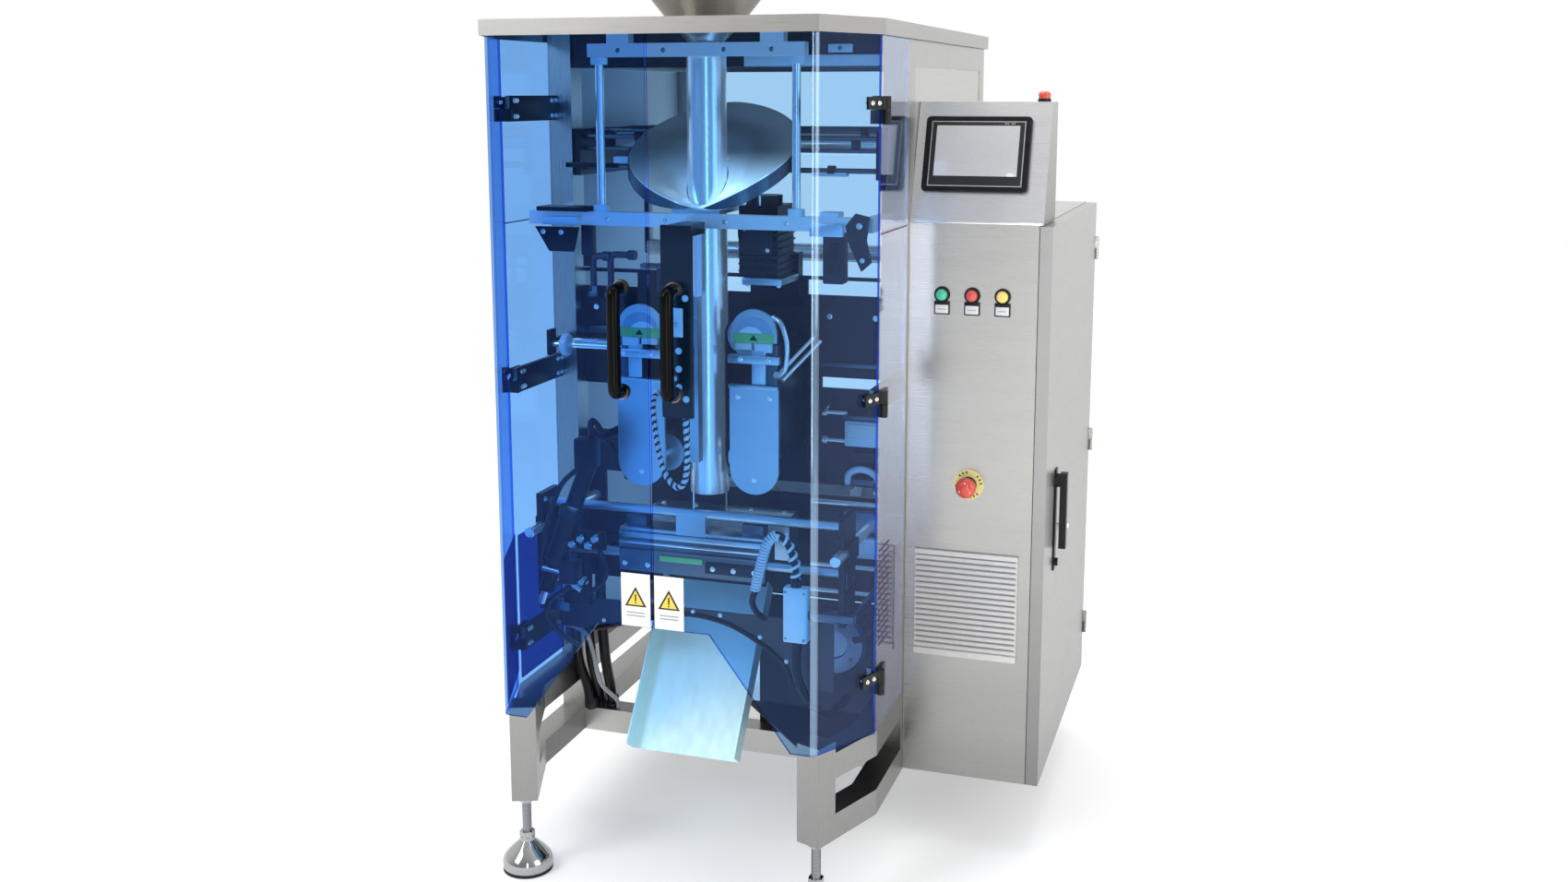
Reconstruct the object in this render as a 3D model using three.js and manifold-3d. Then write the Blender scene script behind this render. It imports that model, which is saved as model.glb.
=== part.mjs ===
// Vertical form fill seal packaging machine with a side-mounted electrical cabinet.
// Millimetres, +Z up. In the drawing coordinates below the floor is z = 0, the doors' front face is
// y = 0, +Y runs into the machine, and x = 0 is the middle of the front. The last lines move the whole
// machine so that the middle of its footprint is the origin.
import * as THREE from 'three';
import { mergeVertices } from 'three/addons/utils/BufferGeometryUtils.js';
import Module from 'manifold-3d';

const wasm = await Module();
wasm.setup();

// Clearance left between touching pieces
const GAP = 0.3;

// Plan of the machine: a flat front, sides that widen back to a kink, then straight sides
const FRONT_HALF = 307;
const SIDE_HALF = 373;
const KINK_Y = 171;
const REAR_Y = 1116;

// Frame of square tube
const TUBE = 50;
const BASE_BOTTOM = 150;
const BASE_TOP = 318;
const LEG_SETBACK = 20;
const LEG_TOP = 340;
const LEG_PROUD = 0.2;
const POST_Y = 378;
const REAR_POST_Y = REAR_Y - TUBE;
const TOP_RAIL_BOTTOM = 1548;
const CROSS_HALF = SIDE_HALF - TUBE - GAP;

// Top plate
const PLATE_BOTTOM = 1598;
const PLATE_TOP = 1626;
const SHEET = 3;
const PLATE_OVERHANG = 8;
const RAIL_TOP = PLATE_TOP - SHEET - GAP;

// Acrylic doors and side windows
const ACRYLIC = 5;
const DOOR_BOTTOM = 335;
const DOOR_TOP = PLATE_BOTTOM - 0.5;
const SEAM_HALF = 1.5;
const CUTOUT_TOP = 540;
const CUTOUT_TOP_HALF = 108;
const CUTOUT_BOTTOM_HALF = 261;
const WINDOW_THICKNESS = 4;
const WINDOW_FRONT = 175;

// Door hinges
const HINGE_HEIGHTS = [418, 945, 1469];
const HINGE_HALF = 24;
const HINGE_X = 381;
const HINGE_Y = 180;
const KNUCKLE_RADIUS = 7;

// Door handles
const HANDLE_X = 50;
const HANDLE_LOW = 976;
const HANDLE_HIGH = 1162;
const HANDLE_RADIUS = 10;
const HANDLE_REACH = 40;

// Product path
const TUBE_Y = 296;
const TUBE_RADIUS = 38;
const TUBE_WALL = 2;
const TUBE_BOTTOM = 725;
const TUBE_TOP = 1588;
const HOPPER_TOP = 1815;
const HOPPER_RADIUS = 205;

// Crossbar, its two rods and the bar under the top plate
const BAR_Y = 240;
const BAR_HALF = 13;
const CROSSBAR_Z = 1261;
const CROSSBAR_HALF = 345;
const ROD_X = 196;
const ROD_RADIUS = 8;
const UPPER_BAR_BOTTOM = 1565;
const UPPER_BAR_TOP = 1590;

// Mounting plate behind the product path
const MOUNT_Y = POST_Y + TUBE + GAP;
const MOUNT_THICKNESS = 8;
const MOUNT_BOTTOM = 480;
const MOUNT_TOP = 1141;
const MOUNT_HALF = 345;

// Film pull belts, one unit on each side of the tube
const PULLEY_X = 83.5;
const PULLEY_RADIUS = 38;
const PULLEY_LOW = 800;
const PULLEY_HIGH = 1040;
const BELT_THICKNESS = 5;
const BELT_FRONT = 277;
const BELT_BACK = 315;

// Vertical sealer
const SEALER_Y = 130;
const SEALER_BOTTOM = 904;
const SEALER_PIN_HEIGHTS = [980, 1080];

// Horizontal sealing jaws
const JAW_HALF = 150;
const JAW_BOTTOM = 580;
const JAW_TOP = 660;
const JAW_DEPTH = 60;
const JAW_OPEN = 46;
const JAW_END_X = 308;
const JAW_GUIDE_Z = 658;
const JAW_STUB_X = 100;
const JAW_STUB_Z = 620;

// Bag chute
const CHUTE_Y = 150;
const CHUTE_Z = 232;
const CHUTE_LENGTH = 350;
const CHUTE_SLOPE = 54;
const CHUTE_HALF = 112;

// Film unwind at the rear
const ROLLER_PLATE_LOW = 1334;
const ROLLER_PLATE_HIGH = 1427;
const ROLLER_FRONT = [560, 1400];
const ROLLER_REAR = [820, 1385];
const DANCER = [690, 1385];
const DANCER_DROP = 225;
const SPINDLE = [900, 560];
const SPINDLE_RADIUS = 15;
const ROLL_RADIUS = 150;

// Electrical cabinet on the right side
const CABINET_X = SIDE_HALF + GAP;
const CABINET_DOOR_X = 622;
const CABINET_SIDE = 646;
const CABINET_FRONT = 393;
const CABINET_REAR = 1076;
const CABINET_BOTTOM = 153;
const CABINET_TOP = 1255;
const CABINET_SHEET = 2;
const BUTTON_X = 497.5;
const BUTTON_STEP = 58;
const BUTTON_Z = 1120;
const ESTOP_Z = 752;
const LEVER = [528, 740];

// Touch screen housing on the cabinet
const SCREEN_BOX_RIGHT = 628;
const SCREEN_FOOT = [396, CABINET_TOP + GAP];
const SCREEN_HEAD = [474, 1482];
const SCREEN_BOX_REAR = 540;
const SCREEN_WIDTH = 203;
const SCREEN_HEIGHT = 149;
const SCREEN_CENTRE = 492;

const FINISH = {
  steel: { color: 0xc6c5c1, roughness: 0.38, metalness: 1 },
  chrome: { color: 0xd8dce0, roughness: 0.12, metalness: 1 },
  aluminium: { color: 0xb4b8bc, roughness: 0.42, metalness: 1 },
  acrylic: { color: 0x3f8fdc, roughness: 0.06, metalness: 0, transparent: true, opacity: 0.35 },
  black: { color: 0x17181b, roughness: 0.45, metalness: 0.1 },
  rubber: { color: 0x1c1c1e, roughness: 0.85, metalness: 0 },
  film: { color: 0xe6e9ec, roughness: 0.22, metalness: 0 },
  screen: { color: 0x4a4d55, roughness: 0.3, metalness: 0 },
  green: { color: 0x2ea36c, roughness: 0.25, metalness: 0 },
  red: { color: 0xd5342c, roughness: 0.3, metalness: 0 },
  yellow: { color: 0xe8b93a, roughness: 0.25, metalness: 0 },
};

const machine = new THREE.Group();

function addPart(name, geometry, finish) {
  const mesh = new THREE.Mesh(geometry, new THREE.MeshStandardMaterial(FINISH[finish]));
  mesh.name = name;
  machine.add(mesh);
}

function sideName(name, side) {
  return side < 0 ? `${name}_left` : `${name}_right`;
}

// Joining and cutting

function toSolid(geometry) {
  const bare = geometry.clone();
  bare.deleteAttribute('normal');
  bare.deleteAttribute('uv');
  const merged = mergeVertices(bare, 1e-4);
  const vertProperties = new Float32Array(merged.attributes.position.array);
  const triVerts = new Uint32Array(merged.index.array);
  return new wasm.Manifold(new wasm.Mesh({ numProp: 3, vertProperties, triVerts }));
}

function toGeometry(solid) {
  const mesh = solid.getMesh();
  const geometry = new THREE.BufferGeometry();
  geometry.setAttribute('position', new THREE.BufferAttribute(mesh.vertProperties, 3));
  geometry.setIndex(new THREE.BufferAttribute(mesh.triVerts, 1));
  geometry.computeVertexNormals();
  return geometry;
}

function join(...geometries) {
  let solid = toSolid(geometries[0]);
  for (const geometry of geometries.slice(1)) solid = solid.add(toSolid(geometry));
  return toGeometry(solid);
}

function cut(geometry, ...tools) {
  let solid = toSolid(geometry);
  for (const tool of tools) solid = solid.subtract(toSolid(tool));
  return toGeometry(solid);
}

// Basic shapes

function block([x0, x1], [y0, y1], [z0, z1]) {
  const box = new THREE.BoxGeometry(Math.abs(x1 - x0), Math.abs(y1 - y0), Math.abs(z1 - z0));
  return box.translate((x0 + x1) / 2, (y0 + y1) / 2, (z0 + z1) / 2);
}

function outline(points) {
  return new THREE.Shape(points.map(([x, y]) => new THREE.Vector2(x, y)));
}

// An outline in the plan, extruded upwards
function plate(points, z0, z1) {
  const geometry = new THREE.ExtrudeGeometry(outline(points), { depth: z1 - z0, bevelEnabled: false });
  return geometry.translate(0, 0, z0);
}

// A shape drawn in x and z, extruded along +Y
function panelShape(shape, y0, y1, curveSegments = 8) {
  const geometry = new THREE.ExtrudeGeometry(shape, { depth: y1 - y0, bevelEnabled: false, curveSegments });
  return geometry.rotateX(Math.PI / 2).translate(0, y1, 0);
}

// An outline drawn in y and z, extruded along +X
function profile(points, x0, x1) {
  const geometry = new THREE.ExtrudeGeometry(outline(points), { depth: x1 - x0, bevelEnabled: false });
  return geometry.rotateX(Math.PI / 2).rotateZ(Math.PI / 2).translate(x0, 0, 0);
}

function barX(x0, x1, y, z, radius, sides = 12) {
  const bar = new THREE.CylinderGeometry(radius, radius, x1 - x0, sides).rotateZ(Math.PI / 2);
  return bar.translate((x0 + x1) / 2, y, z);
}

function barY(x, y0, y1, z, radius, sides = 12) {
  const bar = new THREE.CylinderGeometry(radius, radius, y1 - y0, sides);
  return bar.translate(x, (y0 + y1) / 2, z);
}

function barZ(x, y, z0, z1, radius, sides = 12) {
  const bar = new THREE.CylinderGeometry(radius, radius, z1 - z0, sides).rotateX(Math.PI / 2);
  return bar.translate(x, y, (z0 + z1) / 2);
}

function lathe(profilePoints, sides) {
  const points = profilePoints.map(([r, h]) => new THREE.Vector2(r, h));
  return new THREE.LatheGeometry(points, sides);
}

// Plan geometry of the widening front sides

const taper = new THREE.Vector2(SIDE_HALF - FRONT_HALF, KINK_Y).normalize();
const inward = new THREE.Vector2(-taper.y, taper.x);

// The point on the right taper, a distance along it from the front corner and an inset from its face
function taperPoint(along, inset) {
  const x = FRONT_HALF + taper.x * along + inward.x * inset;
  const y = taper.y * along + inward.y * inset;
  return [x, y];
}

// Where the inset taper line reaches a given y
function taperAtY(y, inset) {
  const [x0, y0] = taperPoint(0, inset);
  return [x0 + (taper.x * (y - y0)) / taper.y, y];
}

// Where the inset taper line reaches a given x
function taperAtX(x, inset) {
  const [x0, y0] = taperPoint(0, inset);
  return [x, y0 + (taper.y * (x - x0)) / taper.x];
}

function onSide(points, side) {
  return points.map(([x, y]) => [x * side, y]);
}

// Frame

const FRAME_INSET = ACRYLIC + 0.5;

function railOutline() {
  return [
    taperPoint(LEG_SETBACK, FRAME_INSET),
    taperAtX(SIDE_HALF, FRAME_INSET),
    [SIDE_HALF, REAR_Y],
    [SIDE_HALF - TUBE, REAR_Y],
    taperAtX(SIDE_HALF - TUBE, FRAME_INSET + TUBE),
    taperPoint(LEG_SETBACK, FRAME_INSET + TUBE),
  ];
}

function legOutline() {
  const front = LEG_SETBACK - LEG_PROUD;
  const inset = FRAME_INSET + LEG_PROUD;
  return [
    taperPoint(front, inset),
    taperPoint(front + TUBE, inset),
    taperPoint(front + TUBE, inset + TUBE),
    taperPoint(front, inset + TUBE),
  ];
}

// A bar from the post to the front of the side, with the fixed half of the hinge knuckle
function hingeArm(side, height) {
  const low = height - HINGE_HALF;
  const arm = block([355 * side, 363 * side], [HINGE_Y - 4, POST_Y + 1], [low, height + HINGE_HALF]);
  const tab = block([355 * side, HINGE_X * side], [HINGE_Y - 4, HINGE_Y + 4], [low, height - GAP]);
  const knuckle = barZ(HINGE_X * side, HINGE_Y, low, height - GAP, KNUCKLE_RADIUS, 12);
  return [arm, tab, knuckle];
}

// An upright that the film roll's spindle drops into from above
function spindleCradle(side) {
  const [y, z] = SPINDLE;
  const upright = block([311 * side, 324 * side], [y - 25, y + 25], [BASE_TOP - TUBE + 10, z + 15]);
  const seat = barX(300, 330, y, z, SPINDLE_RADIUS + 0.5).translate(side < 0 ? -630 : 0, 0, 0);
  const half = SPINDLE_RADIUS + 0.5;
  const mouth = block([300 * side, 330 * side], [y - half, y + half], [z, z + 40]);
  return cut(upright, seat, mouth);
}

function sideFrame(side) {
  const rails = onSide(railOutline(), side);
  const outer = SIDE_HALF * side;
  const inner = (SIDE_HALF - TUBE) * side;
  const pieces = [
    plate(rails, BASE_BOTTOM, BASE_BOTTOM + TUBE),
    plate(rails, BASE_TOP - TUBE, BASE_TOP),
    plate(onSide(legOutline(), side), BASE_BOTTOM, LEG_TOP),
    block([inner, outer], [POST_Y, POST_Y + TUBE], [BASE_BOTTOM, RAIL_TOP]),
    block([inner, outer], [REAR_POST_Y, REAR_Y], [BASE_BOTTOM, RAIL_TOP]),
    block([inner, outer], [POST_Y, REAR_Y], [TOP_RAIL_BOTTOM, RAIL_TOP]),
    spindleCradle(side),
  ];
  for (const height of HINGE_HEIGHTS) pieces.push(...hingeArm(side, height));
  return join(...pieces);
}

function crossRail(y0, y1, z0, z1) {
  return block([-CROSS_HALF, CROSS_HALF], [y0, y1], [z0, z1]);
}

// Levelling foot: bell, nut, stud and lock nut
function foot(x, y) {
  const profilePoints = [
    [0, 0],
    [46, 0],
    [50, 6],
    [50, 28],
    [22, 66],
    [14, 70],
    [14, 82],
    [8, 82],
    [8, 136],
    [14, 136],
    [14, BASE_BOTTOM - GAP],
    [0, BASE_BOTTOM - GAP],
  ];
  return lathe(profilePoints, 14).rotateX(Math.PI / 2).translate(x, y, 0);
}

function topOutline(inset, rear) {
  const right = [taperAtY(inset, inset), taperAtX(SIDE_HALF - inset, inset), [SIDE_HALF - inset, rear]];
  const left = onSide(right, -1).reverse();
  return [...right, ...left];
}

const THROAT_RADIUS = 67;

function topPlate() {
  const outer = plate(topOutline(-PLATE_OVERHANG, REAR_Y + PLATE_OVERHANG), PLATE_BOTTOM, PLATE_TOP);
  const lip = PLATE_OVERHANG - SHEET;
  const hollow = plate(topOutline(-lip, REAR_Y + lip), PLATE_BOTTOM - 10, PLATE_TOP - SHEET);
  const throat = barZ(0, TUBE_Y, PLATE_BOTTOM, PLATE_TOP + 10, THROAT_RADIUS + GAP, 32);
  return cut(outer, hollow, throat);
}

// Side glazing and panels

function sideWindow(side) {
  const inner = (SIDE_HALF - WINDOW_THICKNESS) * side;
  const y = [WINDOW_FRONT, POST_Y - GAP];
  const sheet = block([inner, SIDE_HALF * side], y, [BASE_TOP + GAP, PLATE_BOTTOM - GAP]);
  const notches = HINGE_HEIGHTS.map((height) => block(
    [(inner * side - 5) * side, (SIDE_HALF + 5) * side],
    [WINDOW_FRONT - 5, HINGE_Y + 4 + GAP],
    [height - HINGE_HALF - GAP, height + GAP],
  ));
  return cut(sheet, ...notches);
}

function sidePanel(side) {
  const x = [(SIDE_HALF - 3) * side, (SIDE_HALF - 1) * side];
  const y = [POST_Y + TUBE + GAP, REAR_POST_Y - GAP];
  return block(x, y, [BASE_TOP + GAP, TOP_RAIL_BOTTOM - GAP]);
}

// Doors

function doorFront(side) {
  const shape = outline([
    [SEAM_HALF * side, CUTOUT_TOP],
    [CUTOUT_TOP_HALF * side, CUTOUT_TOP],
    [CUTOUT_BOTTOM_HALF * side, DOOR_BOTTOM],
    [FRONT_HALF * side, DOOR_BOTTOM],
    [FRONT_HALF * side, DOOR_TOP],
    [SEAM_HALF * side, DOOR_TOP],
  ]);
  return panelShape(shape, 0, ACRYLIC);
}

// The door's bent side wing, whose lower edge falls from the corner to the hinges
function doorWing(side) {
  const length = Math.hypot(SIDE_HALF - FRONT_HALF, KINK_Y);
  const shape = outline([[0, DOOR_BOTTOM], [length, BASE_TOP], [length, DOOR_TOP], [0, DOOR_TOP]]);
  const wing = panelShape(shape, 0, ACRYLIC).rotateZ(Math.atan2(taper.y, taper.x));
  wing.translate(FRONT_HALF, 0, 0);
  return side > 0 ? wing : mirrorX(wing);
}

function mirrorX(geometry) {
  const mirrored = geometry.clone().scale(-1, 1, 1);
  const position = mirrored.attributes.position;
  for (let i = 0; i < position.count; i += 3) {
    const a = new THREE.Vector3().fromBufferAttribute(position, i);
    const b = new THREE.Vector3().fromBufferAttribute(position, i + 1);
    position.setXYZ(i, b.x, b.y, b.z);
    position.setXYZ(i + 1, a.x, a.y, a.z);
  }
  return mirrored;
}

// The strap and moving half of one hinge knuckle
function doorHinge(side, height) {
  const strap = [
    taperPoint(140, 1),
    taperPoint(183, 1),
    [HINGE_X - 5, HINGE_Y - 2],
    [HINGE_X + 3, HINGE_Y - 4],
    taperPoint(182, -5),
    taperPoint(140, -4),
  ];
  const low = height + GAP;
  const high = height + HINGE_HALF;
  return [
    plate(onSide(strap, side), low, high),
    barZ(HINGE_X * side, HINGE_Y, low, high, KNUCKLE_RADIUS, 12),
  ];
}

function door(side) {
  const pieces = [doorFront(side), doorWing(side)];
  for (const height of HINGE_HEIGHTS) pieces.push(...doorHinge(side, height));
  return join(...pieces);
}

function doorHandle(side) {
  const x = HANDLE_X * side;
  const bend = 22;
  const near = -GAP;
  const far = -HANDLE_REACH;
  const path = new THREE.CurvePath();
  const at = (y, z) => new THREE.Vector3(x, y, z);
  path.add(new THREE.LineCurve3(at(near, HANDLE_LOW), at(far + bend, HANDLE_LOW)));
  path.add(new THREE.QuadraticBezierCurve3(
    at(far + bend, HANDLE_LOW),
    at(far, HANDLE_LOW),
    at(far, HANDLE_LOW + bend),
  ));
  path.add(new THREE.LineCurve3(at(far, HANDLE_LOW + bend), at(far, HANDLE_HIGH - bend)));
  path.add(new THREE.QuadraticBezierCurve3(
    at(far, HANDLE_HIGH - bend),
    at(far, HANDLE_HIGH),
    at(far + bend, HANDLE_HIGH),
  ));
  path.add(new THREE.LineCurve3(at(far + bend, HANDLE_HIGH), at(near, HANDLE_HIGH)));
  return tubeAlong(path, HANDLE_RADIUS, 8, 24);
}

function tubeAlong(path, radius, sides, steps) {
  const section = [];
  for (let i = 0; i < sides; i += 1) {
    const angle = (i / sides) * Math.PI * 2;
    section.push([Math.cos(angle) * radius, Math.sin(angle) * radius]);
  }
  return new THREE.ExtrudeGeometry(outline(section), { steps, extrudePath: path });
}

// Hopper, forming tube and forming collar

function hopper() {
  const wall = 2.5;
  const neck = TUBE_RADIUS - TUBE_WALL - 0.5;
  const cone = (HOPPER_RADIUS - THROAT_RADIUS) / (HOPPER_TOP - 20 - PLATE_TOP);
  const rimStart = HOPPER_TOP - 20;
  const profilePoints = [
    [neck, TUBE_TOP - 28],
    [neck, TUBE_TOP + 4],
    [THROAT_RADIUS, PLATE_TOP],
    [HOPPER_RADIUS, rimStart],
    [HOPPER_RADIUS, HOPPER_TOP],
    [HOPPER_RADIUS - wall, HOPPER_TOP],
    [HOPPER_RADIUS - wall, rimStart + wall * cone],
    [THROAT_RADIUS - wall, PLATE_TOP + wall * cone],
    [neck - wall, TUBE_TOP + 4 + wall],
    [neck - wall, TUBE_TOP - 28],
    [neck, TUBE_TOP - 28],
  ];
  return lathe(profilePoints, 24).rotateX(Math.PI / 2).translate(0, TUBE_Y, 0);
}

function formingTube() {
  const inner = TUBE_RADIUS - TUBE_WALL;
  const profilePoints = [
    [TUBE_RADIUS, TUBE_BOTTOM],
    [TUBE_RADIUS, TUBE_TOP],
    [inner, TUBE_TOP],
    [inner, TUBE_BOTTOM],
    [TUBE_RADIUS, TUBE_BOTTOM],
  ];
  return lathe(profilePoints, 24).rotateX(Math.PI / 2).translate(0, TUBE_Y, 0);
}

// The folding shoulder: a ruled sheet from a curve round the tube out to the rim of two raised wings
function shoulderSheet() {
  const segments = 28;
  const thickness = 3;
  const low = CROSSBAR_Z + BAR_HALF + 10;
  const vertices = [];
  const index = [];
  for (let i = 0; i < segments; i += 1) {
    const angle = (i / segments) * Math.PI * 2;
    const back = (1 - Math.cos(angle)) / 2;
    const wing = Math.abs(Math.sin(angle));
    const innerRadius = TUBE_RADIUS + 2;
    const outerRadius = innerRadius + 8 + 105 * back + 62 * wing;
    const innerZ = low + 95 * back;
    const outerZ = low + 195 * back + 25 * wing;
    for (const [radius, z] of [[innerRadius, innerZ], [outerRadius, outerZ]]) {
      const x = Math.sin(angle) * radius;
      const y = TUBE_Y - Math.cos(angle) * radius;
      vertices.push(x, y, z, x, y, z + thickness);
    }
  }
  for (let i = 0; i < segments; i += 1) {
    const a = i * 4;
    const b = ((i + 1) % segments) * 4;
    // corner order: inner bottom, inner top, outer bottom, outer top
    quad(index, a + 1, a + 3, b + 3, b + 1);
    quad(index, a, b, b + 2, a + 2);
    quad(index, a + 2, b + 2, b + 3, a + 3);
    quad(index, a, a + 1, b + 1, b);
  }
  const geometry = new THREE.BufferGeometry();
  geometry.setAttribute('position', new THREE.Float32BufferAttribute(vertices, 3));
  geometry.setIndex(index);
  return geometry;
}

function quad(index, a, b, c, d) {
  index.push(a, b, c, a, c, d);
}

// The shoulder's sleeve round the tube and the foot that sits on the crossbar
function formingCollar() {
  const footTop = CROSSBAR_Z + BAR_HALF + 8;
  const footBottom = CROSSBAR_Z + BAR_HALF + GAP;
  const base = block([-48, 48], [BAR_Y - 8, TUBE_Y + 48], [footBottom, footTop]);
  const sleeve = barZ(0, TUBE_Y, footBottom, footTop + 10, TUBE_RADIUS + 6, 28);
  const bore = barZ(0, TUBE_Y, footBottom - 10, footTop + 60, TUBE_RADIUS + 1.5, 28);
  const backPost = block([-40, 40], [TUBE_Y + 42, TUBE_Y + 46], [footBottom, footTop + 95]);
  return cut(join(shoulderSheet(), base, sleeve, backPost), bore);
}

// Crossbar group

function crossbar() {
  const z = [CROSSBAR_Z - BAR_HALF, CROSSBAR_Z + BAR_HALF];
  const pieces = [block([-CROSSBAR_HALF, CROSSBAR_HALF], [BAR_Y - BAR_HALF, BAR_Y + BAR_HALF], z)];
  for (const side of [-1, 1]) {
    const arm = [(CROSSBAR_HALF - 20) * side, CROSSBAR_HALF * side];
    pieces.push(block(arm, [BAR_Y, POST_Y - GAP], z));
  }
  return join(...pieces);
}

function upperBar() {
  const pieces = [block([-215, 215], [BAR_Y - 12, BAR_Y + 12], [UPPER_BAR_BOTTOM, UPPER_BAR_TOP])];
  for (const side of [-1, 1]) {
    const pad = [130 * side, 175 * side];
    pieces.push(block(pad, [BAR_Y - 12, BAR_Y + 12], [UPPER_BAR_TOP - 1, RAIL_TOP]));
  }
  return join(...pieces);
}

// Mounting plate and the pieces it carries

function mountingPlate() {
  const sheet = block([-MOUNT_HALF, MOUNT_HALF], [MOUNT_Y, MOUNT_Y + MOUNT_THICKNESS], [MOUNT_BOTTOM, MOUNT_TOP]);
  const holes = [-1, 1].map((side) => barY(JAW_STUB_X * side, MOUNT_Y - 5, MOUNT_Y + 20, JAW_STUB_Z, 8.6));
  return cut(sheet, ...holes);
}

function beltCover(side) {
  const half = 52;
  const centre = 114 * side;
  const low = 742 + half;
  const high = 1099 - half;
  const shape = new THREE.Shape();
  shape.absarc(centre, high, half, 0, Math.PI, false);
  shape.absarc(centre, low, half, Math.PI, Math.PI * 2, false);
  const face = panelShape(shape, 228, 236, 8);
  const web = block([132 * side, 160 * side], [235, MOUNT_Y - GAP], [PULLEY_LOW, PULLEY_HIGH]);
  return join(face, web);
}

function belt(side) {
  const inner = PULLEY_RADIUS + GAP;
  const outer = inner + BELT_THICKNESS;
  const centre = PULLEY_X * side;
  const loop = (path, radius) => {
    path.absarc(centre, PULLEY_HIGH, radius, 0, Math.PI, false);
    path.absarc(centre, PULLEY_LOW, radius, Math.PI, Math.PI * 2, false);
    return path;
  };
  const shape = loop(new THREE.Shape(), outer);
  shape.holes.push(loop(new THREE.Path(), inner));
  return panelShape(shape, BELT_FRONT, BELT_BACK, 7);
}

function pulley(side, z) {
  const shaft = 8;
  const profilePoints = [
    [0, 240],
    [shaft, 240],
    [shaft, BELT_FRONT - 1],
    [PULLEY_RADIUS, BELT_FRONT - 1],
    [PULLEY_RADIUS, BELT_BACK + 1],
    [shaft, BELT_BACK + 1],
    [shaft, MOUNT_Y - GAP],
    [0, MOUNT_Y - GAP],
  ];
  return lathe(profilePoints, 14).translate(PULLEY_X * side, 0, z);
}

function beltMotor() {
  const body = block([62, 140], [300, 400], [1150, 1287]);
  const flange = block([50, 150], [399, MOUNT_Y - GAP], [1080, 1190]);
  const fanCover = barZ(101, 350, 1286, 1305, 32);
  return join(body, flange, fanCover);
}

// Vertical sealer: a fixed bracket and the heated bar that slides in to the tube

function sealerBracket() {
  const front = [SEALER_Y, SEALER_Y + 10];
  const face = block([-30, 30], front, [SEALER_BOTTOM, CROSSBAR_Z]);
  const arm = block([-20, 20], [SEALER_Y, BAR_Y - BAR_HALF - GAP], [CROSSBAR_Z - 22, CROSSBAR_Z]);
  const holes = SEALER_PIN_HEIGHTS.map((z) => barY(0, SEALER_Y - 5, SEALER_Y + 15, z, 6));
  return cut(join(face, arm), ...holes);
}

function sealerBar() {
  const pins = SEALER_PIN_HEIGHTS.map((z) => barY(0, SEALER_Y - 12, 215, z, 5, 12));
  return join(block([-9, 9], [214, 236], [800, 1120]), ...pins);
}

// Horizontal jaws

function jawCarriage() {
  const rear = TUBE_Y - JAW_OPEN;
  const y = [rear - JAW_DEPTH, rear];
  const pieces = [block([-JAW_HALF, JAW_HALF], y, [JAW_BOTTOM, JAW_TOP])];
  for (const z of [612, 702]) pieces.push(barX(-JAW_END_X, JAW_END_X, rear - 47, z, 9, 12));
  pieces.push(block([-30, 30], [rear - JAW_DEPTH, rear - 30], [JAW_TOP - 1, 705]));
  for (const side of [-1, 1]) {
    const thin = [(JAW_END_X - 6) * side, (JAW_END_X + 6) * side];
    const boss = [(JAW_END_X - 18) * side, (JAW_END_X + 14) * side];
    pieces.push(block(thin, [165, 240], [519, 725]));
    pieces.push(block(boss, [175, 235], [JAW_GUIDE_Z - 18, JAW_GUIDE_Z + 18]));
  }
  const bores = [-1, 1].map((side) => barY(JAW_END_X * side, 150, 260, JAW_GUIDE_Z, 10.5));
  return cut(join(...pieces), ...bores);
}

function rearJaw() {
  const front = TUBE_Y + JAW_OPEN;
  const pieces = [block([-JAW_HALF, JAW_HALF], [front, front + JAW_DEPTH], [JAW_BOTTOM, JAW_TOP])];
  for (const side of [-1, 1]) {
    pieces.push(barY(JAW_STUB_X * side, front + JAW_DEPTH - 1, front + 134, JAW_STUB_Z, 8));
  }
  return join(...pieces);
}

function jawDrive() {
  const plateBack = MOUNT_Y + MOUNT_THICKNESS + GAP;
  const gearbox = block([-55, 55], [plateBack, plateBack + 60], [565, 675]);
  const motor = barY(0, plateBack + 59, plateBack + 190, JAW_STUB_Z, 45, 16);
  return join(gearbox, motor);
}

// Bag chute: sloping tray with two flanges and a leg to the cross rail

function chute() {
  const slope = THREE.MathUtils.degToRad(CHUTE_SLOPE);
  const run = [Math.cos(slope), Math.sin(slope)];
  const point = (along, above) => [
    CHUTE_Y + run[0] * along - run[1] * above,
    CHUTE_Z + run[1] * along + run[0] * above,
  ];
  const strip = (above) => [point(0, 0), point(CHUTE_LENGTH, 0), point(CHUTE_LENGTH, above), point(0, above)];
  const legX = [-20, 20];
  const pieces = [profile(strip(3), -CHUTE_HALF, CHUTE_HALF)];
  pieces.push(profile(strip(38), -CHUTE_HALF, -CHUTE_HALF + 3));
  pieces.push(profile(strip(38), CHUTE_HALF - 3, CHUTE_HALF));
  const legTop = CHUTE_Z + (343 - CHUTE_Y) * Math.tan(slope);
  pieces.push(block(legX, [340, 346], [BASE_BOTTOM, legTop]));
  pieces.push(block(legX, [340, POST_Y - GAP], [BASE_BOTTOM, BASE_BOTTOM + 6]));
  return join(...pieces);
}

// Film unwind: two plates, two rollers, a dancer and the roll on its spindle

function rollerPlate(side) {
  const x = [(CROSS_HALF - 14) * side, CROSS_HALF * side];
  const beam = block(x, [POST_Y + 6, 905], [ROLLER_PLATE_LOW, ROLLER_PLATE_HIGH]);
  const centre = (CROSS_HALF - 7) * side;
  const bores = [ROLLER_FRONT, ROLLER_REAR, DANCER].map(([y, z]) => barX(centre - 15, centre + 15, y, z, 8.5));
  return cut(beam, ...bores);
}

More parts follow.
